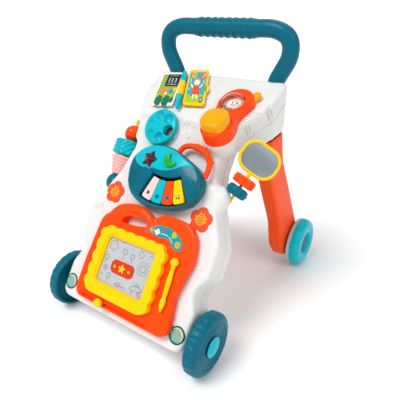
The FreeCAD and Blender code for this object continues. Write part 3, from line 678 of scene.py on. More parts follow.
def body_shells():
    """The soft form is parted along the seam into the front and rear shells, each with its wall."""
    form = body_form()
    line = [Vector((0, y * MM, z * MM)) for y, z in seam_line()]
    for a, b in zip(line, line[1:]):
        along = (b - a).normalized()
        normal = Vector((0, along.z, -along.y))
        bmesh.ops.bisect_plane(form, geom=form.verts[:] + form.edges[:] + form.faces[:], plane_co=a,
                               plane_no=normal)
    fence = [(v.y, v.z) for v in line] + [(-0.4, 0.48), (-0.4, -0.05)]

    def in_front(y, z):
        """Whether a point lies inside the fence round everything before the seam."""
        inside = False
        for (y0, z0), (y1, z1) in zip(fence, fence[1:] + fence[:1]):
            if (z0 > z) != (z1 > z) and y < (y1 - y0) * (z - z0) / (z1 - z0) + y0:
                inside = not inside
        return inside

    for node, front in (("front_shell", True), ("rear_shell", False)):
        name = node + "_skin"
        half = form.copy()
        away = [f for f in half.faces if in_front(*f.calc_center_median().yz) != front]
        bmesh.ops.delete(half, geom=away, context="FACES")
        rim = {v for e in half.edges if e.is_boundary for v in e.verts}
        for v in rim:
            v.co -= v.normal * SEAM_DRAW * MM
        shell = keep(name, as_mesh(half, name), "body", "white_abs", [WHITE], (node,), angle=60)
        wall = shell.modifiers.new("wall", "SOLIDIFY")
        wall.thickness = SHELL_WALL * MM
        wall.offset = -1
    form.free()


body_shells()


# ---- drawing board ------------------------------------------------------------------------------------
BOARD_OUTLINE = [
    (-83, -12, 14), (101, -12, 15), (91, 46, 44), (101, 98, 36), (93, 146, 36), (32, 149, 26),
    (13, 134, 10), (3, 144, 12), (-42, 146, 30), (-80, 116, 22), (-84, 45, 60),
]
BOARD_HOLE = [(-47, 115, 3.5), (-32, 129, 7), (4, 131.5, 5), (12, 122.5, 3), (-8, 118.5, 20)]
GRIP_ROUTE = [(-68, 112, 8), (-58, 133, 11), (-30, 142.5, 13), (-2, 141.5, 13), (18, 129, 11), (28, 112, 8)]
BOARD_TOP, FRAME_TOP = 14.0, 24.0
SLOT_S = -7.0
PEN_HEAD, PEN_TIP, PEN_N = (77.0, 90.0), (80.0, 20.0), 17.5


def board_body():
    """The tray, with a thick rolled grip over the finger hole."""
    plate = prism(round_corners(BOARD_OUTLINE), 0.4, BOARD_TOP)
    grip = wire([GRIP_ROUTE], 7.2, rings=4)
    bm = rolled([plate, grip], 1.3, 8)
    hole = prism(round_corners(BOARD_HOLE), -2, 30)
    track = bar(-71, 65, SLOT_S - 5.5, SLOT_S + 5.5, 5, 12.4, 20)
    slot = bar(-66, 60, SLOT_S - 2, SLOT_S + 2, 1.5, 8, 20)
    head, tip = Vector(PEN_HEAD + (PEN_N,)), Vector(PEN_TIP + (PEN_N,))
    groove = wire([[head, tip]], 5.4, smooth=False, rings=4)
    bm = carved(bm, [hole, track, slot, groove, orb(*PEN_HEAD, PEN_N, 7.6)])
    from_bmesh("board_tray", bm, PANEL, "board", "orange_abs", [ORANGE], replaced=("board_body",), angle=35)


SCALLOPS, SCALLOP_DEPTH = 22, 4.2
OUTLINE_STEP = 1.5


def frame_outline():
    """The frame's rim: a rounded oblong with soft bumps along its top and sides and a straight foot."""
    line = [Vector(p) for p in round_corners(bar_outline(-61, 61, 4, 105, 15), 10)]
    steps = [(b - a).length for a, b in zip(line, line[1:] + line[:1])]
    girth, gone, points = sum(steps), 0.0, []
    for a, b, step in zip(line, line[1:] + line[:1], steps):
        outward = Vector(((b - a).y, -(b - a).x)).normalized() if step else Vector()
        parts = max(1, round(step / OUTLINE_STEP))
        for t in (k / parts for k in range(parts)):
            spot = a.lerp(b, t)
            wave = abs(math.cos(SCALLOPS / 2 * 2 * math.pi * (gone + t * step) / girth)) ** 0.7 - 0.4
            fade = min(1.0, max(0.0, (spot.y - 6) / 12))
            points.append(tuple(spot + outward * wave * fade * SCALLOP_DEPTH))
        gone += step
    return points


def board_frame():
    """The yellow frame: a soft scalloped rim round a bevelled window."""
    rim = prism(frame_outline(), BOARD_TOP - 1, FRAME_TOP)
    opening = bar(-48, 48, 19.5, 94, 7, BOARD_TOP - 4, FRAME_TOP + 4)
    window = bar(-45, 45, 22.5, 91, 5, BOARD_TOP - 4, FRAME_TOP + 4)
    sill = bar(-50, 50, 17.5, 96, 7, BOARD_TOP - 1, FRAME_TOP - 3)
    bm = rolled([carved(rim, [opening]), carved(sill, [window])], 1.0, 7)
    from_bmesh("board_frame_rim", bm, PANEL, "board", "yellow_abs", [YELLOW], replaced=("board_frame",),
               angle=60)


board_body()
board_frame()


# ---- keyboard -----------------------------------------------------------------------------------------
PIANO_OUTLINE = [
    (-57, 204), (-51, 226), (-26, 243.5), (8, 245), (40, 234), (66, 221), (78, 200), (73, 177), (52, 160),
    (16, 151.5), (-20, 153.5), (-46, 170),
]
CAP_OUTLINE = [
    (-50, 219), (-42, 209), (-27, 204.5), (-10, 206.5), (8, 206), (24, 209.5), (38, 217), (52, 222.5),
    (62, 221.5), (40, 231.5), (8, 242.5), (-25, 241), (-43, 231),
]
PIANO_TOP, PIANO_SWELL = 20.0, 7.5
PIANO_MIDDLE = (11.0, 198.0)
FAN_MIDDLE, FAN_TURN = (15.0, 252.0), -83.7
FAN_IN, FAN_OUT = 59.0, 93.0
KEY_ANGLE = 12.3
STAR, MOON = (-18.0, 218.5), (22.0, 225.0)
STAR_TURN = 6.0
RING_COILS = 9
RING_ROUTE = [(17, 233, 12), (19, 248, 12), (32, 255, 12), (50, 254, 12), (67, 247, 12), (78, 233, 12),
              (75, 214, 12)]


def dome(x, y, z):
    """The keyboard's crown: its top swells towards the middle."""
    swell = 1 - ((x - PIANO_MIDDLE[0]) / 76) ** 2 - ((y - PIANO_MIDDLE[1]) / 54) ** 2
    return x, y, z + PIANO_SWELL * swell * max(0.0, z) / PIANO_TOP


def fan_point(radius, degrees):
    """A point of the keys' fan."""
    t = math.radians(FAN_TURN + degrees)
    return FAN_MIDDLE[0] + radius * math.cos(t), FAN_MIDDLE[1] + radius * math.sin(t)


def fan_sector(inner, outer, start, end, corner, steps=12):
    """A piece of the fan with rounded corners: arcs inside and out."""
    turns = [start + (end - start) * k / steps for k in range(steps + 1)]
    outside = [fan_point(outer, a) for a in turns]
    inside = [fan_point(inner, a) for a in reversed(turns)]
    corners = []
    for arc, radius in ((outside, corner), (inside, corner * 0.5)):
        corners += [p + (radius if i in (0, steps) else 0.01,) for i, p in enumerate(arc)]
    return corners


def piano():
    """The casing with its well for the keys, its underside, and the cyan cap over the star and the moon."""
    base = rolled([prism(flowing(PIANO_OUTLINE), 0.4, PIANO_TOP)], 1.3, 34)
    shaped(base, dome)
    well = prism(round_corners(fan_sector(FAN_IN - 5, FAN_OUT + 2.2, -27, 27, 3, 16), 3), 5, 60)
    from_bmesh("piano_casing", carved(base, [well]), PANEL, "keyboard", "dark_teal_abs", [DEEP_TEAL],
               replaced=("piano_base",), angle=40)
    middle_x, middle_y = PIANO_MIDDLE
    spread = flowing(PIANO_OUTLINE)
    inset = [(middle_x + (x - middle_x) * 0.9, middle_y + (y - middle_y) * 0.88) for x, y in spread]
    plate = prism(inset, 0.4, 3)
    from_bmesh("battery_hatch", plate, PANEL, "keyboard", "dark_teal_abs", [DEEP_TEAL],
               replaced=("battery_cover",))
    # the well floor is coloured near-black as painted shade, standing for the shadow deep in the recess
    floor = prism(round_corners(fan_sector(FAN_IN - 6, FAN_OUT + 4, -28, 28, 2, 16), 3), 4, 6)
    from_bmesh("piano_well_floor", floor, PANEL, "keyboard", "dark_teal_abs", [WELL_SHADE_BLACK])
    cap = prism(flowing(CAP_OUTLINE), 8, PIANO_TOP + 0.8)
    collar = prism(star_points(*STAR, 17.5, 11.5, STAR_TURN), 12, PIANO_TOP + 1.8)
    moat = prism(star_points(*STAR, 15.0, 9.0, STAR_TURN), PIANO_TOP - 0.5, PIANO_TOP + 5)
    form = combine(block(cap), block(collar), "UNION")
    form = combine(form, block(moat), "DIFFERENCE")
    crown = softened(form, 0.8, 5)
    shaped(crown, dome)
    from_bmesh("piano_cap", crown, PANEL, "keyboard", "cyan_abs", [CYAN], replaced=("piano_top",), angle=60)


def facet_star():
    """A clear star rising in flat facets to its middle."""
    bm = bmesh.new()
    rim = star_points(*STAR, 14.3, 8.4, STAR_TURN)
    foot = [bm.verts.new((x, y, PIANO_TOP - 2)) for x, y in rim]
    edge = [bm.verts.new((x, y, PIANO_TOP + 1.6)) for x, y in rim]
    peak = bm.verts.new(STAR + (PIANO_TOP + 4.6,))
    for k in range(len(rim)):
        n = (k + 1) % len(rim)
        bm.faces.new((foot[k], foot[n], edge[n], edge[k]))
        bm.faces.new((edge[k], edge[n], peak))
    bm.faces.new(foot[::-1])
    shaped(bm, dome)
    from_bmesh("star_lamp", bm, PANEL, "keyboard", "red_lens", [RED_LENS], replaced=("star_lens",),
               angle=10, bevel=0.4)


def moon_press():
    """The crescent button, and the raised marks round it."""
    moon = crescent(MOON[0] - 1, MOON[1] - 1, 10.5, MOON[0] + 4.5, MOON[1] + 5.5, 9.5)
    bm = rolled([prism(moon, 18, PIANO_TOP + 4.2)], 0.6, 5)
    shaped(bm, dome)
    from_bmesh("moon_press_button", bm, PANEL, "moon", "green_lens", [GREEN_LENS],
               replaced=("moon_button",), angle=60)
    smile = [(4, 214.5), (10, 211), (19, 211.5), (25, 216)]
    printing("smile_mark", PANEL, "keyboard", "cyan_abs", [(CYAN, strokes([smile], 1.8, rise=1.0))],
             "piano_cap")
    ribs = [circle(-66, 190, 20 + 4.5 * k, 14, -34, 22 - 3 * k) for k in range(4)]
    waves = [circle(58, 196, 12 + 4 * k, 10, 4, 48 - 6 * k) for k in range(2)]
    printing("speaker_ribs", PANEL, "keyboard", "dark_teal_abs",
             [(DEEP_TEAL, strokes(ribs + waves, 1.8, rise=1.0))],
             "piano_casing")


def keys():
    """Four rounded keys, each with a small printed picture: a flower, a butterfly, a tree and cherries."""
    for index, (node, material, slot_name) in enumerate((
        ("pink_key", PINK_KEY, "pink_abs"), ("cyan_key", CYAN, "cyan_abs"),
        ("orange_key", ORANGE, "orange_abs"), ("yellow_key", YELLOW, "yellow_abs"),
    )):
        middle = KEY_ANGLE * (index - 1.5)
        sector = fan_sector(FAN_IN - 1, FAN_OUT, middle - 5.75, middle + 5.75, 4.0)
        bm = rolled([prism(round_corners(sector, 4), 12, PIANO_TOP + 3)], 0.55, 8)
        from_bmesh(node + "_cap", bm, PANEL, "key_%d" % (index + 1), slot_name, [material],
                   replaced=(node,), angle=60)
        x, y = fan_point(FAN_OUT - 9, middle)
        icons = (
            [petals(x, y + 1, 3.2, 5, 0.4)],
            [oval(x - 1.8, y + 1, 1.6, 2.4), oval(x + 1.8, y + 1, 1.6, 2.4), oval(x, y - 1.4, 0.8, 1.8)],
            [petals(x, y + 1.5, 3.2, 3, 0.35, 90), oval(x, y - 2, 0.8, 1.8)],
            [circle(x - 1.8, y - 1.4, 1.5, 12), circle(x + 1.9, y - 0.6, 1.5, 12),
             oval(x + 0.6, y + 2.4, 1.8, 0.9)],
        )
        layers = [(TEAL, prism(shape, -0.3, 0.3)) for shape in icons[index]]
        printing(node + "_icon", PANEL, "key_%d" % (index + 1), "teal_abs", layers, node + "_cap")


def ring_handle():
    """The ring, with a wound grip on its far side."""
    points = [Vector(p) for p in RING_ROUTE]
    coils = []
    for k in range(RING_COILS):
        along = 2.6 + 2.2 * k / (RING_COILS - 1)
        i = min(int(along), len(points) - 2)
        here = points[i].lerp(points[i + 1], along - i)
        heading = (points[i + 1] - points[i]).normalized()
        bm = turned([(-1.9, 3.0), (-1.5, 5.0), (0, 5.6), (1.5, 5.0), (1.9, 3.0)], 32)
        bm.transform(Matrix.Translation(here) @ heading.to_track_quat("Z", "Y").to_matrix().to_4x4())
        coils.append(bm)
    bm = rolled([wire([RING_ROUTE], 4.2, rings=6)] + coils, 0.8, 3)
    from_bmesh("ring_handle", bm, PANEL, "keyboard", "orange_abs", [ORANGE], replaced=("piano_ring",),
               angle=60)


piano()
facet_star()
moon_press()
keys()
ring_handle()


# ---- spinning disc ------------------------------------------------------------------------------------
WELL_RADII = (8.6, 8.0, 6.8, 5.4, 6.2, 7.4)


def spin_disc():
    """A domed disc with finger wells; one well goes right through."""
    x, y = DISC_MIDDLE
    wheel = rolled([drum(x, y, DISC_R, 1.5, 11.5, 72)], 1.0, 14)
    shaped(wheel, lambda a, b, c: (
        a, b, c + 2.0 * (1 - ((a - x) ** 2 + (b - y) ** 2) / DISC_R ** 2) * (c > 6)
    ))
    cuts = []
    for k, radius in enumerate(WELL_RADII):
        t = math.radians(-12 + 60 * k)
        cx, cy = x + 18.6 * math.cos(t), y + 18.6 * math.sin(t)
        cuts.append(drum(cx, cy, radius, 0, 20, 40) if k == 0 else orb(cx, cy, 14.2, radius * 1.12, 0.95))
    bm = softened(block(carved(wheel, cuts)), 0.7, 3)
    from_bmesh("finger_disc", bm, PANEL, "disc", "cyan_abs", [CYAN], replaced=("spin_disc",), angle=60)


spin_disc()

# ---- phone --------------------------------------------------------------------------------------------
PHONE_FOOT, PHONE_TOP = -9.0, 12.0
BUTTON = (52, 90, -42, -4, 13)
WINDOW_MIDDLE = (70.0, 28.0)


def phone_body():
    """The casing: two round lobes and a waist, sunk a little into the stand under it."""
    bm = rolled([prism(round_corners(PHONE_OUTLINE), PHONE_FOOT, PHONE_TOP)], 1.3, 14)
    shaped(bm, lambda x, y, z: (x, y, z + 2.5 * (1 - ((x - PHONE_X) / 38) ** 2) * (z > 6)))
    left, right, low, high, radius = BUTTON
    well = bar(left - 0.5, right + 0.5, low - 0.5, high + 0.5, radius, 1, 30)
    collar = turned([(9, 19), (14.5, 18.6), (15.6, 20), (15.0, 22.2), (9, 24)], 64)
    bmesh.ops.translate(collar, vec=WINDOW_MIDDLE + (0,), verts=collar.verts)
    solid = opened(combine(block(bm), block(collar), "UNION"))
    bm = carved(solid, [well, drum(*WINDOW_MIDDLE, 18.7, 8, 30)])
    from_bmesh("phone_casing", bm, CONSOLE, "body", "orange_abs", [ORANGE], replaced=("phone_body",),
               angle=40)


def rattle_dome():
    """A clear dome over a small face, with loose beads lying at its lower side."""
    x, y = WINDOW_MIDDLE
    arc = [math.radians(15 * k) for k in range(7)]
    outer = [(13 + 11.5 * math.sin(t), 18.2 * math.cos(t)) for t in arc]
    inner = [(13 + 10.5 * math.sin(t), 17.2 * math.cos(t)) for t in reversed(arc)]
    bm = turned(outer + inner, 64)
    bmesh.ops.translate(bm, vec=(x, y, 0), verts=bm.verts)
    from_bmesh("rattle_dome", bm, CONSOLE, "body", "clear_window", [WINDOW], replaced=("phone_dome",),
               angle=60)
    layers = [(INK["pink"], drum(x, y, 18.2, 8.4, 9.2)), (INK["white"], drum(x, y + 2, 11, 9.2, 9.6, 32))]
    layers += [(INK["navy"], drum(x + side * 4, y + 4, 1.5, 9.6, 10, 16)) for side in (-1, 1)]
    layers += [(INK["coral"], strokes([[(x - 3.5, y), (x, y - 2.5), (x + 3.5, y)]], 1.2, height=9.8))]
    printing("rattle_face", CONSOLE, "body", "bead_mix", layers)
    beads = []
    for k in range(15):
        t = math.radians(215 + 110 * (k % 8) / 7)
        reach = 15.5 if k < 8 else 12.0
        bead = orb(x + reach * math.cos(t), y + reach * math.sin(t), 11.4, 1.7)
        beads.append((INK[("sky", "white", "yellow")[k % 3]], bead))
    printing("rattle_beads", CONSOLE, "body", "bead_mix", beads, replaced=("phone_beads",))


def phone_button():
    """A plump button, a little higher in its middle."""
    bm = rolled([bar(*BUTTON, 9.5, 28)], 1.0, 22)
    middle_y = (BUTTON[2] + BUTTON[3]) / 2
    reach = 19
    shaped(bm, lambda x, y, z: (
        x, y, z + 1.6 * (1 - ((x - PHONE_X) / reach) ** 2 - ((y - middle_y) / reach) ** 2) * (z > 20)
    ))
    from_bmesh("phone_squeeze_button", bm, CONSOLE, "squeeze", "yellow_abs", [GOLD],
               replaced=("phone_button",), angle=60)


phone_body()
phone_button()
rattle_dome()


# ---- pieces that keep their own shape -----------------------------------------------------------------
BODY_OF = {
    node: body for body, nodes in frame["record"]["behaviour"]["bodies"].items() for node in nodes
}
SKINS = {
    "left_leg": ("orange_abs", LEG_ORANGE), "right_leg": ("orange_abs", LEG_ORANGE),
    "front_left_cap": ("cyan_abs", CYAN), "front_right_cap": ("cyan_abs", CYAN),
    "rear_left_wheel": ("cyan_abs", CYAN), "rear_right_wheel": ("cyan_abs", CYAN),
    "rear_left_ring": ("pale_ring", PALE), "rear_right_ring": ("pale_ring", PALE),
    "rear_left_cap": ("dark_teal_abs", TEAL), "rear_right_cap": ("dark_teal_abs", TEAL),
    "board_back": ("orange_abs", ORANGE),
    "draw_screen": ("screen_film", SCREEN),
    "eraser_slider": ("yellow_abs", YELLOW), "pen": ("yellow_abs", YELLOW),
    "disc_spindle": ("white_abs", WHITE),
    "orange_ball": ("orange_abs", ORANGE),
    "ribbed_roller": ("cyan_abs", CYAN), "cone_roller": ("pink_abs", PINK),
    "dome_end": ("teal_abs", TEAL), "mirror_stalk": ("yellow_abs", YELLOW),
    "phone_antenna": ("yellow_abs", GOLD),
}
# voxel in millimetres and rounds of smoothing, for the ones with rolled edges
SOFT = {"left_leg": (1.8, 14), "right_leg": (1.8, 14), "phone_antenna": (0.8, 6)}
for node, (slot_name, material) in SKINS.items():
    skin(node, BODY_OF[node], slot_name, material, SOFT.get(node, ()))


# ---- front wheels -------------------------------------------------------------------------------------
WHEEL_R, FRONT_IN, FRONT_Y = 46.2, 128.0, -163.5
TREADS = 22
WHEEL_PROFILE = [
    (0, 42), (0, 44), (1.2, 45.6), (3, 46.2), (5, 46.2), (7, 46.2), (9, 46.2), (11, 46.2), (13, 46),
    (15, 45.3),
    (17, 43.8), (18.6, 41.6), (19.6, 39), (20.2, 36), (20.4, 34), (19.4, 33), (19.2, 31.5), (20.2, 30.4),
    (20.3, 28), (19.2, 27), (19.1, 25.6), (20.1, 24.6), (20.1, 22), (19, 21), (18.6, 17), (18.2, 15.2),
    (16.4, 14.4), (16.4, 3.1), (3, 3.1), (3, 8), (14, 9), (14.5, 30), (12, 39), (6, 42),
]


def front_wheel(side, word):
    """A hollow rolled tyre with rings on its face and shallow grooves across its tread."""
    bm = turned(WHEEL_PROFILE, 132)

    def groove(x, y, z):
        radius = math.hypot(x, y)
        dip = 1.3 * max(0.0, math.cos(TREADS * math.atan2(y, x))) ** 4 if radius > 40.5 and z > 1 else 0.0
        return x * (1 - dip / radius), y * (1 - dip / radius), z

    shaped(bm, groove)
    spot = place(Vector((side * FRONT_IN, FRONT_Y, WHEEL_R)) * MM, Vector((side, 0, 0)), Vector((0, 0, 1)))
    from_bmesh("front_%s_tyre" % word, bm, spot, "front_" + word, "dark_teal_abs", [TEAL],
               replaced=("front_%s_wheel" % word,), angle=50)


front_wheel(-1, "left")
front_wheel(1, "right")


# ---- mirror -------------------------------------------------------------------------------------------
MIRROR_SIZE = (28.0, 21.5)


def mirror():
    """A long rounded mirror in a thin round-edged frame, across its stalk."""
    glass = merged("mirror_glass")
    face = max(glass.faces, key=lambda f: f.calc_area() * (f.normal.z > 0))
    out = face.normal.copy()
    middle = sum((v.co for v in glass.verts), Vector()) / len(glass.verts)
    glass.free()
    stalk = Vector(JOINTS["mirror_turn"]["axis"]).normalized()
    spot = place(middle, out, (stalk - out * stalk.dot(out)).normalized())
    across, high = MIRROR_SIZE
    outline = round_corners(bar_outline(-across, across, -high, high, high * 0.86), 10)
    rim = wire([[(x, y, 0) for x, y in outline]], 2.4, closed=True, smooth=False, rings=4)
    from_bmesh("mirror_rim", rim, spot, "mirror", "yellow_abs", [YELLOW], replaced=("mirror_frame",),
               angle=60)
    plate = gridded(prism(outline, -1.5, 1.0), 4)
    shaped(plate, lambda x, y, z: (x, y, z + 1.5 * (1 - (x / across) ** 2 - (y / high) ** 2) * (z > 0)))
    from_bmesh("mirror_plate", plate, spot, "mirror", "mirror", [MIRROR], replaced=("mirror_glass",),
               angle=60)
    neck = wire([[(0, -35, 0), (0, -high + 2, 0)]], 3.0, smooth=False, rings=4)
    from_bmesh("mirror_neck", neck, spot, "mirror", "yellow_abs", [YELLOW], angle=60)


def beads():
    """Two loose beads on the stalk: a grooved ring and a lobed one with round studs."""
    profile = [(-7, 3.2), (-7, 7)]
    for t in (math.radians(9 * k - 72) for k in range(17)):
        profile.append((7.5 * math.sin(t), 11 + 5.2 * math.cos(t) + 0.5 * math.cos(8 * t)))
    profile += [(7, 7), (7, 3.2)]
    spot = joint_place("ring_bead_spin")
    from_bmesh("ring_bead_body", turned(profile, 72), spot, "ring_bead", "teal_abs", [TEAL],
               replaced=("ring_bead",), angle=60)
    lobed = rolled([prism(petals(0, 0, 17.5, 8, 0.34, steps=160), -6.5, 6.5)], 0.9, 8)
    layers = [(ORANGE, carved(lobed, [drum(0, 0, 3.2, -12, 12, 24)]))]
    for k in range(7):
        t = 2 * math.pi * k / 7
        layers += [(ORANGE, orb(11 * math.cos(t), 11 * math.sin(t), side * 5.8, 1.5)) for side in (-1, 1)]
        layers.append((ORANGE, orb(16 * math.cos(t), 16 * math.sin(t), 0, 1.7)))
    printing("lobed_bead_body", joint_place("gear_bead_spin"), "gear_bead", "orange_abs", layers,
             replaced=("gear_bead",))


mirror()
beads()


# ---- handle, grip and roller rod ----------------------------------------------------------------------
HANDLE_Y = 86.5
GRIP_RINGS = 8
ROD_X, ROD_N, ROD_R = -109.5, -22, 2.6


def grip():
    """A thick soft sleeve with narrow raised rings, faired into the handle at both ends."""
    length, radius = 62.0, 14.6
    profile = [(-length, 12.55), (-length + 4, 13.7), (-length + 9, radius)]
    for k in range(GRIP_RINGS):
        middle = -46 + 92 * k / (GRIP_RINGS - 1)
        profile += [(middle - 2.4, radius), (middle - 1.2, radius + 0.9), (middle, radius + 1.2)]
        profile += [(middle + 1.2, radius + 0.9), (middle + 2.4, radius)]
    profile += [(length - 9, radius), (length - 4, 13.7), (length, 12.55)]
    box = merged("grip")
    middle = sum((v.co for v in box.verts), Vector()) / len(box.verts)
    box.free()
    spot = place(Vector((0, middle.y, middle.z)), Vector((1, 0, 0)), Vector((0, 0, 1)))
    from_bmesh("grip_sleeve", turned(profile, 72), spot, "body", "teal_abs", [TEAL], replaced=("grip",),
               angle=60)


def roller_rod():
    """A round rod with a bead at its upper end."""
    rod = merged("roller_rod")
    rod.transform(PANEL.inverted())
    along = [v.co.y for v in rod.verts]
    rod.free()
    foot, top = min(along) + 2, max(along) - 16
    line = wire([[(ROD_X, foot, ROD_N), (ROD_X, top, ROD_N)]], ROD_R, smooth=False, rings=4)
    knob = orb(ROD_X, top, ROD_N, ROD_R + 1)
    printing("rod_body", PANEL, "body", "yellow_abs", [(YELLOW, line), (YELLOW, knob)],
             replaced=("roller_rod",))


def handle():
    """One bent tube: short uprights that lean out, round shoulders and a level top."""
    half = [(94, 352), (96, 362), (104, 376), (117, 399), (114, 426), (88, 437.5), (56, 436.2)]
    route = half + [(-x, z) for x, z in reversed(half)]
    tube = wire([[(x, HANDLE_Y, z) for x, z in route]], 13.2, rings=8)
    from_bmesh("handle_tube", tube, UPRIGHT, "body", "teal_abs", [TEAL], replaced=("handle",), angle=60)


handle()
grip()
roller_rod()


STUDS, GOLDEN_TURN = 36, 2.399963
SCALE_ROWS, SCALES = 5, 15


def studs():
    """Round studs over the ball."""
    bm = merged("orange_ball")
    middle = sum((v.co for v in bm.verts), Vector()) / len(bm.verts)
    reach = max((v.co - middle).length for v in bm.verts) / MM
    bm.free()
    layers = []
    for k in range(STUDS):
        height = 1 - 2 * (k + 0.5) / STUDS
        turn = k * GOLDEN_TURN
        flat = math.sqrt(1 - height * height)
        spot = Vector((flat * math.cos(turn), flat * math.sin(turn), height)) * reach * 0.985
        layers.append((ORANGE, orb(*spot, 0.8)))
    printing("ball_studs", Matrix.Translation(middle) @ Matrix.Scale(MM, 4), "ball", "orange_abs", layers)


def roller_scales():
    """Rows of low round scales round the upper roller."""
    spot = joint_place("ribbed_roller_spin")
    bm = merged("ribbed_roller")
    bm.transform(spot.inverted())
    low, high = min(v.co.z for v in bm.verts), max(v.co.z for v in bm.verts)
    reach = max(v.co.xy.length for v in bm.verts) - 1.6
    bm.free()
    layers = []
    for row in range(SCALE_ROWS):
        z = low + 3.5 + (high - low - 7) * row / (SCALE_ROWS - 1)
        for k in range(SCALES):
            t = 2 * math.pi * (k + 0.5 * (row % 2)) / SCALES
            layers.append((CYAN, orb(reach * math.cos(t), reach * math.sin(t), z, 3.1)))
    printing("roller_scale_rows", spot, "ribbed", "cyan_abs", layers)


studs()
roller_scales()


# ---- book ---------------------------------------------------------------------------------------------
LEFT_CORNER, LEFT_ACROSS, LEFT_UP = Vector((-73, 4)), Vector((40, 6)), Vector((-32, 84))
RIGHT_CORNER, RIGHT_ACROSS, RIGHT_UP = Vector((-16.8, 15.7)), Vector((38, 5)), Vector((-42, 88.5))
PAGE_LOW, PAGE_HIGH = 3.2, 6.0
SPINE_TOP, SPINE_END = Vector((-62, 94.6, 7.2)), Vector((-19, 4, 7.2))


def page_shape(points, page, low, high):
    """A shape given in hundredths of the page across and up, leaned as the page leans."""
    corner, across, up = page
    placed = [tuple(corner + across * (u / 100) + up * (v / 100)) for u, v in points]
    return prism(placed, low, high)


def page_line(lines, page, width, height):
    """Lines given in the same way."""
    corner, across, up = page
    placed = [[tuple(corner + across * (u / 100) + up * (v / 100)) for u, v in line] for line in lines]
    return strokes(placed, width, height=height)


def page_prints(page, rows):
    """A page's printed layers from rows: ink, outline and rise, or ink, lines, rise and width."""
    layers = []
    for ink, points, rise, *width in rows:
        top = PAGE_HIGH + rise
        part = page_line(points, page, width[0], top) if width else page_shape(points, page, PAGE_HIGH, top)
        layers.append((INK[ink], part))
    return layers


def left_page():
    """A picture page: a chalk board, animals and bushes."""
    page = (LEFT_CORNER, LEFT_ACROSS, LEFT_UP)
    card = page_shape(round_corners(bar_outline(0, 100, 0, 100, 7), 4), page, PAGE_LOW, PAGE_HIGH)
    layers = [(INK["paper"], card)] + page_prints(page, [
        ("olive", bar_box(7, 94, 6, 95), 0.2),
        ("lime", [(7, 6), (94, 6), (94, 26), (70, 33), (40, 27), (20, 34), (7, 30)], 0.35),
        ("navy", bar_box(30, 93, 56, 95), 0.4),
        ("forest", petals(28, 13, 17, 7), 0.5),
        ("forest", petals(62, 12, 18, 7), 0.5),
        ("forest", petals(86, 16, 9, 6), 0.5),
        ("orange", oval(32, 38, 11, 7), 0.6),
        ("orange", oval(50, 45, 8, 5.5), 0.6),
        ("blue", oval(70, 40, 9, 7), 0.6),
        ("yellow", oval(86, 46, 7, 5), 0.6),
        ("white", oval(50, 34, 6, 4), 0.7),
        ("white", [[(45, 82), (45, 68)], [(56, 81), (63, 80), (56, 68), (64, 68)],
                   [(72, 81), (80, 79), (75, 75), (80, 70), (72, 68)]], 0.6, 1.3),
        ("yellow", [[(44, 88), (58, 91), (70, 88), (84, 91)]], 0.6, 1.0),
        ("white", [[(40, 61), (55, 64), (70, 60), (85, 63)]], 0.6, 1.0),
    ])
    printing("left_page_card", CONSOLE, "body", "page_print", layers, replaced=("left_page",))


def bar_box(left, right, low, high):
    """An oblong picture field's outline."""
    return round_corners(bar_outline(left, right, low, high, 3), 3)


def right_page():
    """A yellow turning page with a tab: a doll on a hill, a sun and a striped ball."""
    page = (RIGHT_CORNER, RIGHT_ACROSS, RIGHT_UP)
    edge = round_corners(bar_outline(0, 100, 0, 100, 9), 4)
    card = page_shape(edge, page, PAGE_LOW, PAGE_HIGH)
    tab = page_shape(oval(99, 45, 11, 10), page, PAGE_LOW, PAGE_HIGH)
    stripes = [[(71 + 7 * k, 74 + 2 * k), (79 + 7 * k, 87 + 2 * k)] for k in range(3)]
    grass = [(9, 7), (91, 7), (91, 24), (66, 31), (34, 22), (9, 29)]
    layers = [(YELLOW, card), (YELLOW, tab)] + page_prints(page, [
        ("sky", bar_box(9, 91, 7, 93), 0.2),
        ("lime", grass, 0.3),
        ("yellow", star_points(30, 85, 15, 8, 0, 12), 0.35),
        ("orange", oval(30, 85, 8, 5), 0.5),
        ("magenta", oval(78, 81, 15, 8.5), 0.4),
        ("yellow", stripes, 0.5, 1.8),
        ("orange", oval(50, 63, 18, 10), 0.45),
        ("paper", oval(50, 61, 13, 7.5), 0.6),
        ("coral", [(38, 52), (62, 52), (70, 27), (30, 27)], 0.5),
        ("paper", [[(34, 46), (22, 56)], [(66, 46), (78, 56)], [(43, 27), (42, 16)], [(57, 27), (60, 17)]],
         0.5, 2.6),
        ("navy", [[(44, 62), (45, 62.4)], [(55, 62), (56, 62.4)], [(45, 57), (50, 55.6), (55, 57)]],
         0.7, 1.0),
        ("grey", petals(80, 14, 9, 5), 0.5),
        ("white", oval(80, 14, 3.4, 2), 0.7),
        ("white", [[(16, 60), (24, 66), (16, 72)], [(84, 58), (76, 66), (86, 70)], [(14, 40), (22, 46)]],
         0.5, 1.2),
    ])
    printing("right_page_card", CONSOLE, "page", "page_print", layers, replaced=("right_page",))


def spine():
    """The rod that binds the pages: cyan ends and a fatter yellow middle."""
    length = (SPINE_END - SPINE_TOP).length
    rod = turned([(-2, 0), (-2, 2), (2, 4.2), (10, 4.9), (28, 4.7), (length - 26, 4.9), (length - 8, 4.2),
                  (length - 1, 2.2), (length, 0)], 40)
    sleeve = turned([(31, 4), (31, 5.2), (34, 5.7), (length - 38, 5.9), (length - 33, 5.4),
                     (length - 33, 4)], 40)
    lay = (SPINE_END - SPINE_TOP).to_track_quat("Z", "Y").to_matrix().to_4x4()
    spot = CONSOLE @ Matrix.Translation(SPINE_TOP) @ lay
    printing("spine_rod", spot, "body", "cyan_abs", [(CYAN, rod), (YELLOW, sleeve)], replaced=("book_spine",))


left_page()
right_page()
spine()


# ---- printed and raised marks -------------------------------------------------------------------------
HIP_BADGE, LAMP_BADGE = (84, 157), (107, -1)


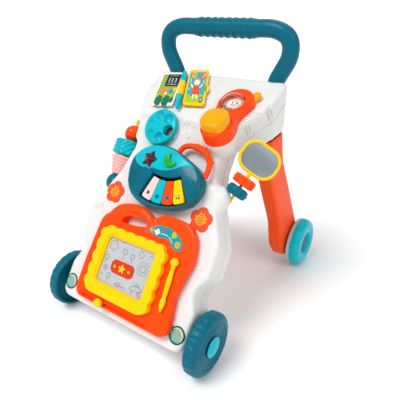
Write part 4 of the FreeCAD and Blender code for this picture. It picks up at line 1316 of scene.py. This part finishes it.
def beetle(x, y):
    """A striped beetle in thin lines."""
    lines = [circle(x, y, 7.5) + [(x + 7.5, y)]]
    lines += [[(x - w, y + v), (x + w, y + v)] for v, w in ((-4, 6), (-1.3, 7), (1.4, 7), (4, 6))]
    lines += [[(x + side * 2, y + 7.5), (x + side * 3.4, y + 11)] for side in (-1, 1)]
    lines += [[(x + side * 6.8, y + v), (x + side * 10, y + v + 1.5)] for side in (-1, 1) for v in (-3, 2)]
    return strokes(lines, 1.15, height=1.0, smooth=False)


def hip_badges():
    """Raised flower badges on the hips, each with a beetle."""
    for side, word in ((-1, "left"), (1, "right")):
        x, y = side * HIP_BADGE[0], HIP_BADGE[1]
        flower = gridded(prism(petals(x, y, 18.5, 5, 0.2, 18), -1.5, 0.7), 2.5)
        layers = [(INK["coral"], flower), (INK["yellow"], beetle(x, y))]
        printing(word + "_flower_badge", PANEL, "body", "badge_print", layers,
                 "front_shell_skin", replaced=("badges",) if side < 0 else ())


def lamp_badges():
    """Round headlight stickers: a dark ring, a mesh of pale dots and a pale crescent that is a painted highlight.
    """
    for side, word in ((-1, "left"), (1, "right")):
        x, y = side * LAMP_BADGE[0], LAMP_BADGE[1]
        layers = [
            (INK["deep"], gridded(prism(circle(x, y, 12.5, 40), -1.0, 0.5), 2.5)),
            (INK["teal"], gridded(prism(circle(x, y, 10.6, 40), -0.8, 0.75), 2.5)),
            # beige crescent near the upper edge: a painted highlight
            (INK["beige"], gridded(prism(crescent(x, y, 10.2, x - 1.6, y - 1.4, 9.7), -0.6, 0.95), 2.5)),
        ]
        for row in range(-4, 5):
            for column in range(-4, 5):
                a, b = 2.7 * (column + 0.5 * (row % 2)), 2.4 * row
                if math.hypot(a, b) < 9:
                    layers.append((INK["beige"], prism(circle(x + a, y + b, 0.9, 8), 0.4, 1.05)))
        printing(word + "_lamp_badge", PANEL, "body", "badge_print", layers, "front_shell_skin")


def screen_drawing():
    """Outline doodles printed on the film, round a red plate with a star."""
    lines = [petals(-34, 80, 8, 5, 0.3), petals(30, 64, 5, 9, 0.2), petals(-10, 77, 4.5, 5, 0.4),
             petals(6, 74, 4, 5, 0.4), petals(-40, 60, 4.5, 6, 0.4), petals(-26, 36, 4, 5, 0.4),
             petals(-3, 29, 4, 2, 0.5),
             circle(-36, 45, 3.6), circle(-36, 45, 1.4), petals(20, 82, 5, 4, 0.3), circle(24, 29, 2),
             circle(36, 29, 2)]
    loops = [line + line[:1] for line in lines]
    rays = [[(30 + 7 * math.cos(t), 64 + 7 * math.sin(t)), (30 + 11.5 * math.cos(t), 64 + 11.5 * math.sin(t))]
            for t in (math.radians(22.5 * k) for k in range(16))]
    stems = [[(-10, 72), (-11, 66)], [(6, 70), (7, 64)], [(-40, 55), (-41, 50)], [(-26, 32), (-27, 26)],
             [(-12, 26), (-8, 31), (-4, 26), (0, 31), (4, 26), (8, 31), (12, 26)],
             [(-42, 34), (-38, 38), (-36, 32)],
             [(18, 31), (22, 38), (38, 38), (42, 31), (18, 31)], [(26, 38), (30, 44), (34, 38)],
             [(34, 84), (38, 87), (42, 84)], [(-22, 88), (-18, 90), (-14, 88)]]
    film = "draw_screen_skin"
    printing("screen_doodles", PANEL, "board", "screen_film",
             [(INK["grey"], strokes(loops + rays + stems, 0.75))], film)
    plate = prism(round_corners(bar_outline(-26, 17, 42.5, 62, 7.5)), -0.5, 1.2)
    star = prism(star_points(-5, 52, 7.5, 3.6, 90), 1.2, 1.6)
    dots = [(INK["yellow"], prism(circle(x, 52, 2.1, 20), 1.2, 1.6)) for x in (-19, 9)]
    printing("screen_plate", PANEL, "board", "picture", [(INK["red"], plate), (INK["yellow"], star)] + dots,
             film)


def board_label():
    """A crescent label on the tray's shoulder: flowers, a flag, a leaf and a sun; small bumps beside it."""
    patch = [(11, 115), (18, 124), (33, 131), (51, 131), (66, 126), (76, 118), (78, 109), (72, 105),
             (64, 107),
             (57, 113), (47, 116), (35, 114), (25, 116), (18, 117)]
    layers = [
        (INK["teal"], gridded(prism(flowing(patch, 5), -0.5, 0.4), 4)),
        (INK["orange"], prism(petals(22, 121, 4, 6, 0.4), 0.3, 0.8)),
        (INK["white"], prism(petals(31, 121, 4.6, 4, 0.45), 0.3, 0.8)),
        (INK["yellow"], prism(circle(22, 121, 1.2, 12), 0.8, 1.0)),
        (INK["red"], prism([(39, 124), (44, 126), (40, 129)], 0.3, 0.8)),
        (INK["lime"], prism(petals(60, 124, 5, 3, 0.35), 0.3, 0.8)),
        (INK["orange"], prism(circle(70, 113, 2.6, 16), 0.3, 1.0)),
        (INK["yellow"], prism(star_points(70, 113, 6, 3, 0, 9), 0.3, 0.7)),
        (INK["white"], strokes([[(38, 120), (44, 121.5), (50, 120)], [(52, 119), (57, 117), (61, 113)]],
                               0.9, height=0.5)),
    ]
    printing("tray_label", PANEL, "board", "picture", layers, "board_tray")
    spots = ((71, 134), (77, 131), (83, 127), (87, 122), (86, 116))
    bumps = [(ORANGE, orb(x, y, 0, 1.1)) for x, y in spots]
    printing("tray_bumps", PANEL, "board", "orange_abs", bumps, "board_tray")


def note(x, y):
    """A raised music note."""
    return [[(x - 2.5, y), (x - 2.5, y + 8), (x + 3.5, y + 9), (x + 3.5, y + 1)]]


def raised_marks():
    """Small raised line marks moulded into the white shell."""
    lines = note(-112, 121) + note(4, 282) + note(-110, 40)
    for x, y, radius in ((-104, 129, 4), (-97, 121, 3), (95, 80, 5), (104, 84, 4.5), (106, 94, 4),
                         (14, 272, 4), (9, 291, 3), (-102, 133, 1.6)):
        lines.append(circle(x, y, radius, 16) + [(x + radius, y)])
    lines += [[(16, 284), (20, 288), (24, 284)], [(-3, 270), (1, 274), (5, 270)]]
    printing("panel_marks", PANEL, "body", "white_abs", [(WHITE, strokes(lines, 1.9, rise=1.0))],
             "front_shell_skin")
    lines = note(12, 84) + [[(24, 90), (28, 94), (32, 90)], [(98, 60), (103, 66), (108, 60)],
                            [(104, 42), (110, 48)]]
    lines += [circle(-109, 58, 4, 16) + [(-105, 58)], circle(118, 44, 4, 16) + [(122, 44)]]
    printing("console_marks", CONSOLE, "body", "white_abs", [(WHITE, strokes(lines, 1.9, rise=1.0))],
             "front_shell_skin")
    ribs = [[(87, 30 - 5.4 * k), (97, 30.6 - 5.4 * k), (108 - 0.4 * k, 29.4 - 5.4 * k)] for k in range(6)]
    printing("vent_ribs", CONSOLE, "body", "white_abs", [(WHITE, strokes(ribs, 2.8, rise=1.3))],
             "front_shell_skin")
    scoop = [(-62, 139), (-66, 145), (-60, 152), (-46, 154), (-36, 149), (-34, 143)]
    crest = [(36, 260), (39, 268), (50, 271), (62, 266), (64, 257)]
    layers = [(BLUSH, gridded(prism(flowing(outline), -0.6, 0.25), 4)) for outline in (scoop, crest)]
    printing("blush_marks", PANEL, "body", "white_abs", layers, "front_shell_skin")


def disc_picture():
    """The picture that shows through the disc's open well."""
    x, y = DISC_MIDDLE
    spots = [(16 * math.cos(t), 16 * math.sin(t)) for t in (math.radians(60 * k - 12) for k in range(6))]
    colours = ("coral", "lime", "orange", "pink", "yellow", "olive")
    layers = [(INK["forest"], drum(x, y, 26.5, 1.15, 1.4))]
    for colour, (a, b) in zip(colours, spots):
        layers.append((INK[colour], prism(petals(x + a * 1.16, y + b * 1.16, 5, 5, 0.35), 1.4, 1.8)))
    printing("disc_picture", PANEL, "body", "picture", layers)


hip_badges()
lamp_badges()
screen_drawing()
board_label()
raised_marks()
disc_picture()

# the few CAD shapes that stay themselves
for node, material in {
    "shell_screws": STEEL, "front_axle": STEEL, "rear_axles": STEEL,
    "key_mat": SILICONE, "circuit_board": BOARD_GREEN, "speaker": PAPER_CONE, "batteries": CELL,
}.items():
    mesh = frame["nodes"][node].data
    mesh.materials.clear()
    mesh.materials.append(material)


# ---- stage, light and camera --------------------------------------------------------------------------
SWEEP_R, SWEEP_RISE = 5.0, 1.0
WORLD_STRENGTH = 0.42
FOCAL_MM, SENSOR_MM = 37.26, 36.0
EYE = (0.3769, -0.5228, 0.4679)
LOOK_DOWN, LOOK_TURN = 25.15, 34.9


def stage():
    """A pale floor whose far edge sweeps up."""
    bm = bmesh.new()
    rise = [(SWEEP_R + math.sin(t) * SWEEP_RISE, SWEEP_RISE * (1 - math.cos(t)))
            for t in (math.radians(10 * k) for k in range(9))]
    line = [bm.verts.new((r, 0, z)) for r, z in [(0, 0)] + rise]
    edges = [bm.edges.new(pair) for pair in zip(line, line[1:])]
    bmesh.ops.spin(bm, geom=line + edges, cent=(0, 0, 0), axis=(0, 0, 1), angle=2 * math.pi, steps=64,
                   use_merge=True)
    bmesh.ops.remove_doubles(bm, verts=bm.verts, dist=1e-5)
    bmesh.ops.recalc_face_normals(bm, faces=bm.faces)
    mesh = as_mesh(bm, "floor")
    mesh.polygons.foreach_set("use_smooth", [True] * len(mesh.polygons))
    floor = linked("floor", mesh)
    material, _, surface = shader("pale_studio_floor")
    give(surface, Base_Color=(0.95, 0.95, 0.95, 1), Roughness=0.95, Specular_IOR_Level=0.1)
    mesh.materials.append(material)


def soft_light(name, azimuth, elevation, spread, strength):
    """A far soft light: azimuth 0 shines from -Y, 90 from +X; spread is its apparent width in degrees."""
    light = bpy.data.lights.new(name, "SUN")
    light.angle = math.radians(spread)
    light.energy = strength
    lamp = linked(name, light)
    a, e = math.radians(azimuth), math.radians(elevation)
    back = Vector((math.sin(a) * math.cos(e), -math.cos(a) * math.cos(e), math.sin(e)))
    lamp.rotation_mode = "QUATERNION"
    lamp.rotation_quaternion = (-back).to_track_quat("-Z", "Y")


def studio():
    """An even white world, with a soft key from the front left and two weaker lights."""
    world = bpy.data.worlds.new("studio")
    world.use_nodes = True
    sky = world.node_tree.nodes["Background"]
    give(sky, Color=(1, 1, 1, 1), Strength=WORLD_STRENGTH)
    bpy.context.scene.world = world
    soft_light("key", -25, 58, 28, 2.0)
    soft_light("fill", 70, 40, 40, 0.7)
    soft_light("back", 190, 50, 40, 0.35)


def camera():
    """A view from the front right, a little above the toy."""
    lens_data = bpy.data.cameras.new("camera")
    lens_data.lens = FOCAL_MM
    lens_data.sensor_width = SENSOR_MM
    eye = linked("camera", lens_data)
    eye.location = EYE
    eye.rotation_euler = (math.radians(90 - LOOK_DOWN), 0, math.radians(LOOK_TURN))
    bpy.context.scene.camera = eye


bpy.context.scene.view_settings.view_transform = "Standard"
camera()
studio()
stage()
